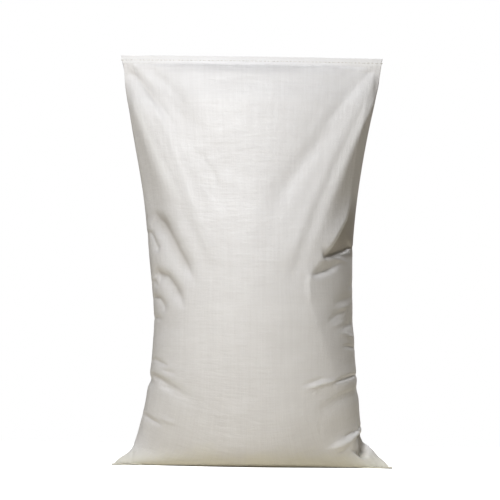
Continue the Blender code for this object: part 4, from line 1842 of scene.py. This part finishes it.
@dataclass
class SeamStitches:
    """One run of machine stitches along a path on the cloth, made with Geometry Nodes."""

    name: str
    kind: StitchKind
    path: Grid
    out: Point3
    pitch: float = 0.0085
    length: float = 0.0070
    radius: float = 0.00055
    width: float = 0.0026
    wobble: float = 0.06
    seed: int = 5
    dash_points: int = 7
    loop_points: int = 12
    thread_sides: int = 6
    end_thinning: float = 0.65
    end_dip: float = 1.5

    def _tree(self, finish: bpy.types.Material) -> bpy.types.NodeTree:
        """The node tree that repeats one stitch along the path.

        Args:
            finish: the thread's material.

        Returns:
            The tree, which takes the path as a mesh of edges.
        """
        t = Tree.group(
            f"stitches_{self.name}",
            "GeometryNodeTree",
            [
                ("Geometry", "NodeSocketGeometry", None),
                ("Pitch", "NodeSocketFloat", self.pitch),
                ("Stitch Length", "NodeSocketFloat", self.length),
                ("Stitch Width", "NodeSocketFloat", self.width),
                ("Thread Radius", "NodeSocketFloat", self.radius),
                ("Out", "NodeSocketVector", self.out),
                ("Seed", "NodeSocketInt", self.seed),
            ],
            [("Geometry", "NodeSocketGeometry")],
        )
        curve = t.first("GeometryNodeMeshToCurve", {"Mesh": t.given["Geometry"]})
        inputs = {"Curve": curve, "Length": t.given["Pitch"]}
        spaced = t.first("GeometryNodeResampleCurve", inputs, mode="LENGTH")
        line, thickness = self._dash(t) if self.kind is StitchKind.DASH else self._loop(t)
        inputs = {"Resolution": self.thread_sides, "Radius": t.given["Thread Radius"]}
        profile = t.first("GeometryNodeCurvePrimitiveCircle", inputs, mode="RADIUS")
        inputs = {"Curve": line, "Profile Curve": profile, "Fill Caps": True}
        thread = t.add("GeometryNodeCurveToMesh", inputs)
        if "Scale" in thread.inputs:
            t.feed(thread.inputs["Scale"], thickness)
        inputs = {"Points": spaced, "Instance": thread.outputs[0], "Rotation": self._turn(t)}
        placed = t.first("GeometryNodeInstanceOnPoints", inputs)
        real = t.first("GeometryNodeRealizeInstances", {"Geometry": placed})
        soft = t.first("GeometryNodeSetShadeSmooth", {"Geometry": real})
        dressed = t.first("GeometryNodeSetMaterial", {"Geometry": soft, "Material": finish})
        t.feed(t.wanted["Geometry"], dressed)
        return t.tree

    def _dash(self, t: Tree) -> tuple[Socket, Socket]:
        """A short run of thread that thins and dips into the cloth at both ends.

        Args:
            t: the stitches' tree.

        Returns:
            The run, and how thick it is along its length.
        """
        half = t.math("MULTIPLY", t.given["Stitch Length"], 0.5)
        start = t.first("ShaderNodeCombineXYZ", {0: t.math("MULTIPLY", half, -1.0)})
        end = t.first("ShaderNodeCombineXYZ", {0: half})
        line = t.first("GeometryNodeCurvePrimitiveLine", {"Start": start, "End": end})
        inputs = {"Curve": line, "Count": self.dash_points}
        line = t.first("GeometryNodeResampleCurve", inputs, mode="COUNT")
        run = t.add("GeometryNodeSplineParameter").outputs["Factor"]
        off = t.math("MULTIPLY_ADD", run, 2.0, -1.0)
        square = t.math("MULTIPLY", off, off)
        fourth = t.math("MULTIPLY", square, square)
        thin = t.math("MULTIPLY_ADD", fourth, -self.end_thinning, 1.0)
        sink = t.math("MULTIPLY", t.math("MULTIPLY", fourth, t.given["Thread Radius"]), -self.end_dip)
        drop = t.first("ShaderNodeCombineXYZ", {2: sink})
        line = t.first("GeometryNodeSetPosition", {"Geometry": line, "Offset": drop})
        return t.first("GeometryNodeSetCurveRadius", {"Curve": line, "Radius": thin}), thin

    def _loop(self, t: Tree) -> tuple[Socket, float]:
        """A flat link of the chain.

        Args:
            t: the stitches' tree.

        Returns:
            The link, and how thick it is.
        """
        inputs = {"Resolution": self.loop_points, "Radius": 0.5}
        ring = t.first("GeometryNodeCurvePrimitiveCircle", inputs, mode="RADIUS")
        inputs = {0: t.given["Stitch Length"], 1: t.given["Stitch Width"], 2: 1.0}
        size = t.first("ShaderNodeCombineXYZ", inputs)
        return t.first("GeometryNodeTransform", {"Geometry": ring, "Scale": size}), 1.0

    def _turn(self, t: Tree) -> Socket:
        """How each stitch lies.

        Args:
            t: the stitches' tree.

        Returns:
            A turn that lays it flat on the cloth and along the seam, a little uneven.
        """
        tangent = t.first("GeometryNodeInputTangent")
        face = t.first("FunctionNodeAlignRotationToVector", {"Vector": t.given["Out"]}, axis="Z")
        inputs = {"Rotation": face, "Vector": tangent}
        turn = t.first("FunctionNodeAlignRotationToVector", inputs, axis="X", pivot_axis="Z")
        inputs = {"Min": (0.0, 0.0, -self.wobble), "Max": (0.0, 0.0, self.wobble), "Seed": t.given["Seed"]}
        wobble = t.first("FunctionNodeRandomValue", inputs, data_type="FLOAT_VECTOR")
        jitter = t.first("FunctionNodeEulerToRotation", {0: wobble})
        return t.first("FunctionNodeRotateRotation", {0: turn, 1: jitter}, rotation_space="LOCAL")

    def mesh(self, finish: bpy.types.Material) -> bpy.types.Mesh:
        """Evaluates the stitches.

        Args:
            finish: the thread's material.

        Returns:
            A plain mesh of every stitch in the run.
        """
        guide = bpy.data.meshes.new(self.name)
        edges = [(i, i + 1) for i in range(len(self.path) - 1)]
        guide.from_pydata([tuple(point) for point in self.path], edges, [])
        obj = new_object(self.name, guide)
        modifier = obj.modifiers.new("stitches", "NODES")
        modifier.node_group = self._tree(finish)
        values = {
            "Pitch": self.pitch,
            "Stitch Length": self.length,
            "Stitch Width": self.width,
            "Thread Radius": self.radius,
            "Out": self.out,
            "Seed": self.seed,
        }
        for item in modifier.node_group.interface.items_tree:
            if item.in_out == "INPUT" and item.name in values:
                modifier[item.identifier] = values[item.name]
        bpy.context.view_layer.update()
        evaluated = obj.evaluated_get(bpy.context.evaluated_depsgraph_get())
        made = bpy.data.meshes.new_from_object(evaluated)
        obj.modifiers.remove(modifier)
        bpy.data.objects.remove(obj)
        return made


@dataclass
class SeamThreads:
    """The two closing seams of the sack: chain stitch through the top hem and through the bottom hem."""

    sack: WovenSack
    finish: ThreadFinish = ThreadFinish()
    end_margin: float = 0.004
    end_columns: int = 3
    hem_rows: int = 40
    top_lift: float = 0.0003
    corner_start: float = 0.205
    corner_lift: float = 0.0012
    under_level: float = 0.0008
    path_points: int = 60

    def build(self) -> list[bpy.types.Object]:
        """Builds both seams.

        Returns:
            The top seam and the bottom seam.
        """
        material = self.finish.material()
        top = self._join("top_seam_stitches", self._top_runs(), material, TOP_THREAD_NODE)
        bottom = self._join("bottom_seam_stitches", self._bottom_runs(), material, BOTTOM_THREAD_NODE)
        return [top, bottom]

    def _top_runs(self) -> list[SeamStitches]:
        """Lays out the stitches through the top hem.

        Returns:
            The dashes on its front and the loops on its back.
        """
        low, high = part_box(TOP_THREAD_NODE)
        level = (low[2] + high[2]) / 2
        last = self.sack.columns
        columns = np.arange(self.end_columns, last - self.end_columns + 1)
        runs = []
        for name, kind, away, places in (
            ("top_front", StitchKind.DASH, -1.0, columns),
            ("top_back", StitchKind.LOOP, 1.0, 2 * last - columns),
        ):
            path = []
            for column in places:
                line = self.sack.points[-self.hem_rows :, column]
                x, y, z = line[np.argsort(line[:, 2])].T
                path.append((np.interp(level, z, x), np.interp(level, z, y) + away * self.top_lift, level))
            runs.append(SeamStitches(name, kind, np.array(path), (0.0, away, 0.0)))
        return runs

    def _bottom_runs(self) -> list[SeamStitches]:
        """Lays out the stitches through the bottom hem.

        Returns:
            The dashes above it at both corners, and the loops below it all along.
        """
        form, hems = self.sack.form, self.sack.hems
        end = form.half_seam - self.end_margin
        above = hems.bottom_thickness + self.corner_lift
        runs = []
        for name, low, high, level, kind, out in (
            ("bottom_left", -end, -self.corner_start, above, StitchKind.DASH, 1.0),
            ("bottom_right", self.corner_start, end, above, StitchKind.DASH, 1.0),
            ("bottom_under", -end, end, self.under_level, StitchKind.LOOP, -1.0),
        ):
            x = np.linspace(low, high, self.path_points)
            path = np.stack([x, form.seam(x) - hems.bottom / 2, np.full_like(x, level)], axis=1)
            runs.append(SeamStitches(name, kind, path, (0.0, 0.0, out)))
        return runs

    @staticmethod
    def _join(
        name: str, runs: list[SeamStitches], material: bpy.types.Material, node: str
    ) -> bpy.types.Object:
        """Makes one piece of several runs.

        Args:
            name: the piece's name.
            runs: its runs of stitches.
            material: the thread's finish.
            node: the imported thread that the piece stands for.

        Returns:
            The piece.
        """
        shape = bmesh.new()
        for run in runs:
            mesh = run.mesh(material)
            shape.from_mesh(mesh)
            bpy.data.meshes.remove(mesh)
        bmesh.ops.recalc_face_normals(shape, faces=shape.faces)
        joined = bpy.data.meshes.new(name)
        shape.to_mesh(joined)
        shape.free()
        piece = new_object(name, joined, material)
        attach(piece, BODY)
        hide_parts(node)
        return piece


@dataclass(frozen=True)
class Lamp:
    """One soft light panel."""

    name: str
    place: Point3
    aim: Point3
    size: Point2
    power: float
    colour: tuple[float, float, float]

    def build(self) -> None:
        """Hangs the lamp."""
        data = bpy.data.lights.new(self.name, "AREA")
        data.shape = "RECTANGLE"
        data.size, data.size_y = self.size
        data.energy = self.power
        data.color = self.colour
        lamp = bpy.data.objects.new(self.name, data)
        place = np.array(self.place)
        forward = unit(np.array(self.aim) - place)
        right = unit(np.cross(forward, (0.0, 0.0, 1.0)))
        lamp.matrix_world = turned_to(place, right, np.cross(right, forward), forward)
        lamp.visible_camera = False
        bpy.context.scene.collection.objects.link(lamp)


@dataclass(frozen=True)
class Studio:
    """The pale floor, the white surroundings and the soft lights."""

    floor_size: float = 5.0
    white: Colour = (1.0, 1.0, 1.0, 1.0)
    warm: Colour = (1.0, 0.92, 0.82, 1.0)
    glow: float = 0.06
    lamps: tuple[Lamp, ...] = (
        Lamp("key", (-0.62, -2.05, 2.6), (0.0, 0.0, 0.5), (0.9, 0.9), 68.5, (0.97, 0.985, 1.0)),
        Lamp("low", (-1.3, -3.6, 0.5), (0.0, 0.0, 0.10), (1.6, 0.8), 17.0, (1.0, 0.97, 0.915)),
        Lamp("back", (1.4, 3.4, 2.6), (0.0, 0.0, 0.4), (1.4, 1.4), 90.0, (1.0, 1.0, 1.0)),
    )

    def build(self) -> None:
        """Builds the surroundings."""
        scene = bpy.context.scene
        scene.view_settings.view_transform = "Standard"
        scene.view_settings.look = "None"
        half = self.floor_size / 2
        corners = [(-half, -half, 0), (half, -half, 0), (half, half, 0), (-half, half, 0)]
        mesh = bpy.data.meshes.new("studio_floor")
        mesh.from_pydata(corners, [], [(0, 1, 2, 3)])
        floor = new_object("studio_floor", mesh, FloorFinish().material())
        world = bpy.data.worlds.new("studio")
        world.use_nodes = True
        scene.world = world
        t = Tree(world.node_tree)
        seen = t.add("ShaderNodeLightPath").outputs["Is Camera Ray"]
        back = t.tree.nodes["Background"]
        t.feed(back.inputs["Color"], t.blend(seen, self.warm, self.white))
        t.feed(back.inputs["Strength"], t.between(seen, 0.0, 1.0, self.glow, 1.0))
        for lamp in self.lamps:
            lamp.build()


def main() -> None:
    """Builds the sack, its seams and the studio in order."""
    logging.basicConfig(level=logging.INFO, format="%(name)s: %(message)s")
    view = PhotoView()
    view.make_camera()
    form = SackForm.of_node(SACK_NODE)
    sack = WovenSack(form, view, SackCloth(form))
    for piece in sack.build():
        log.info("%s: %d faces", piece.name, len(piece.data.polygons))
    for piece in SeamThreads(sack).build():
        log.info("%s: %d faces", piece.name, len(piece.data.polygons))
    Studio().build()


if __name__ == "__main__":
    main()
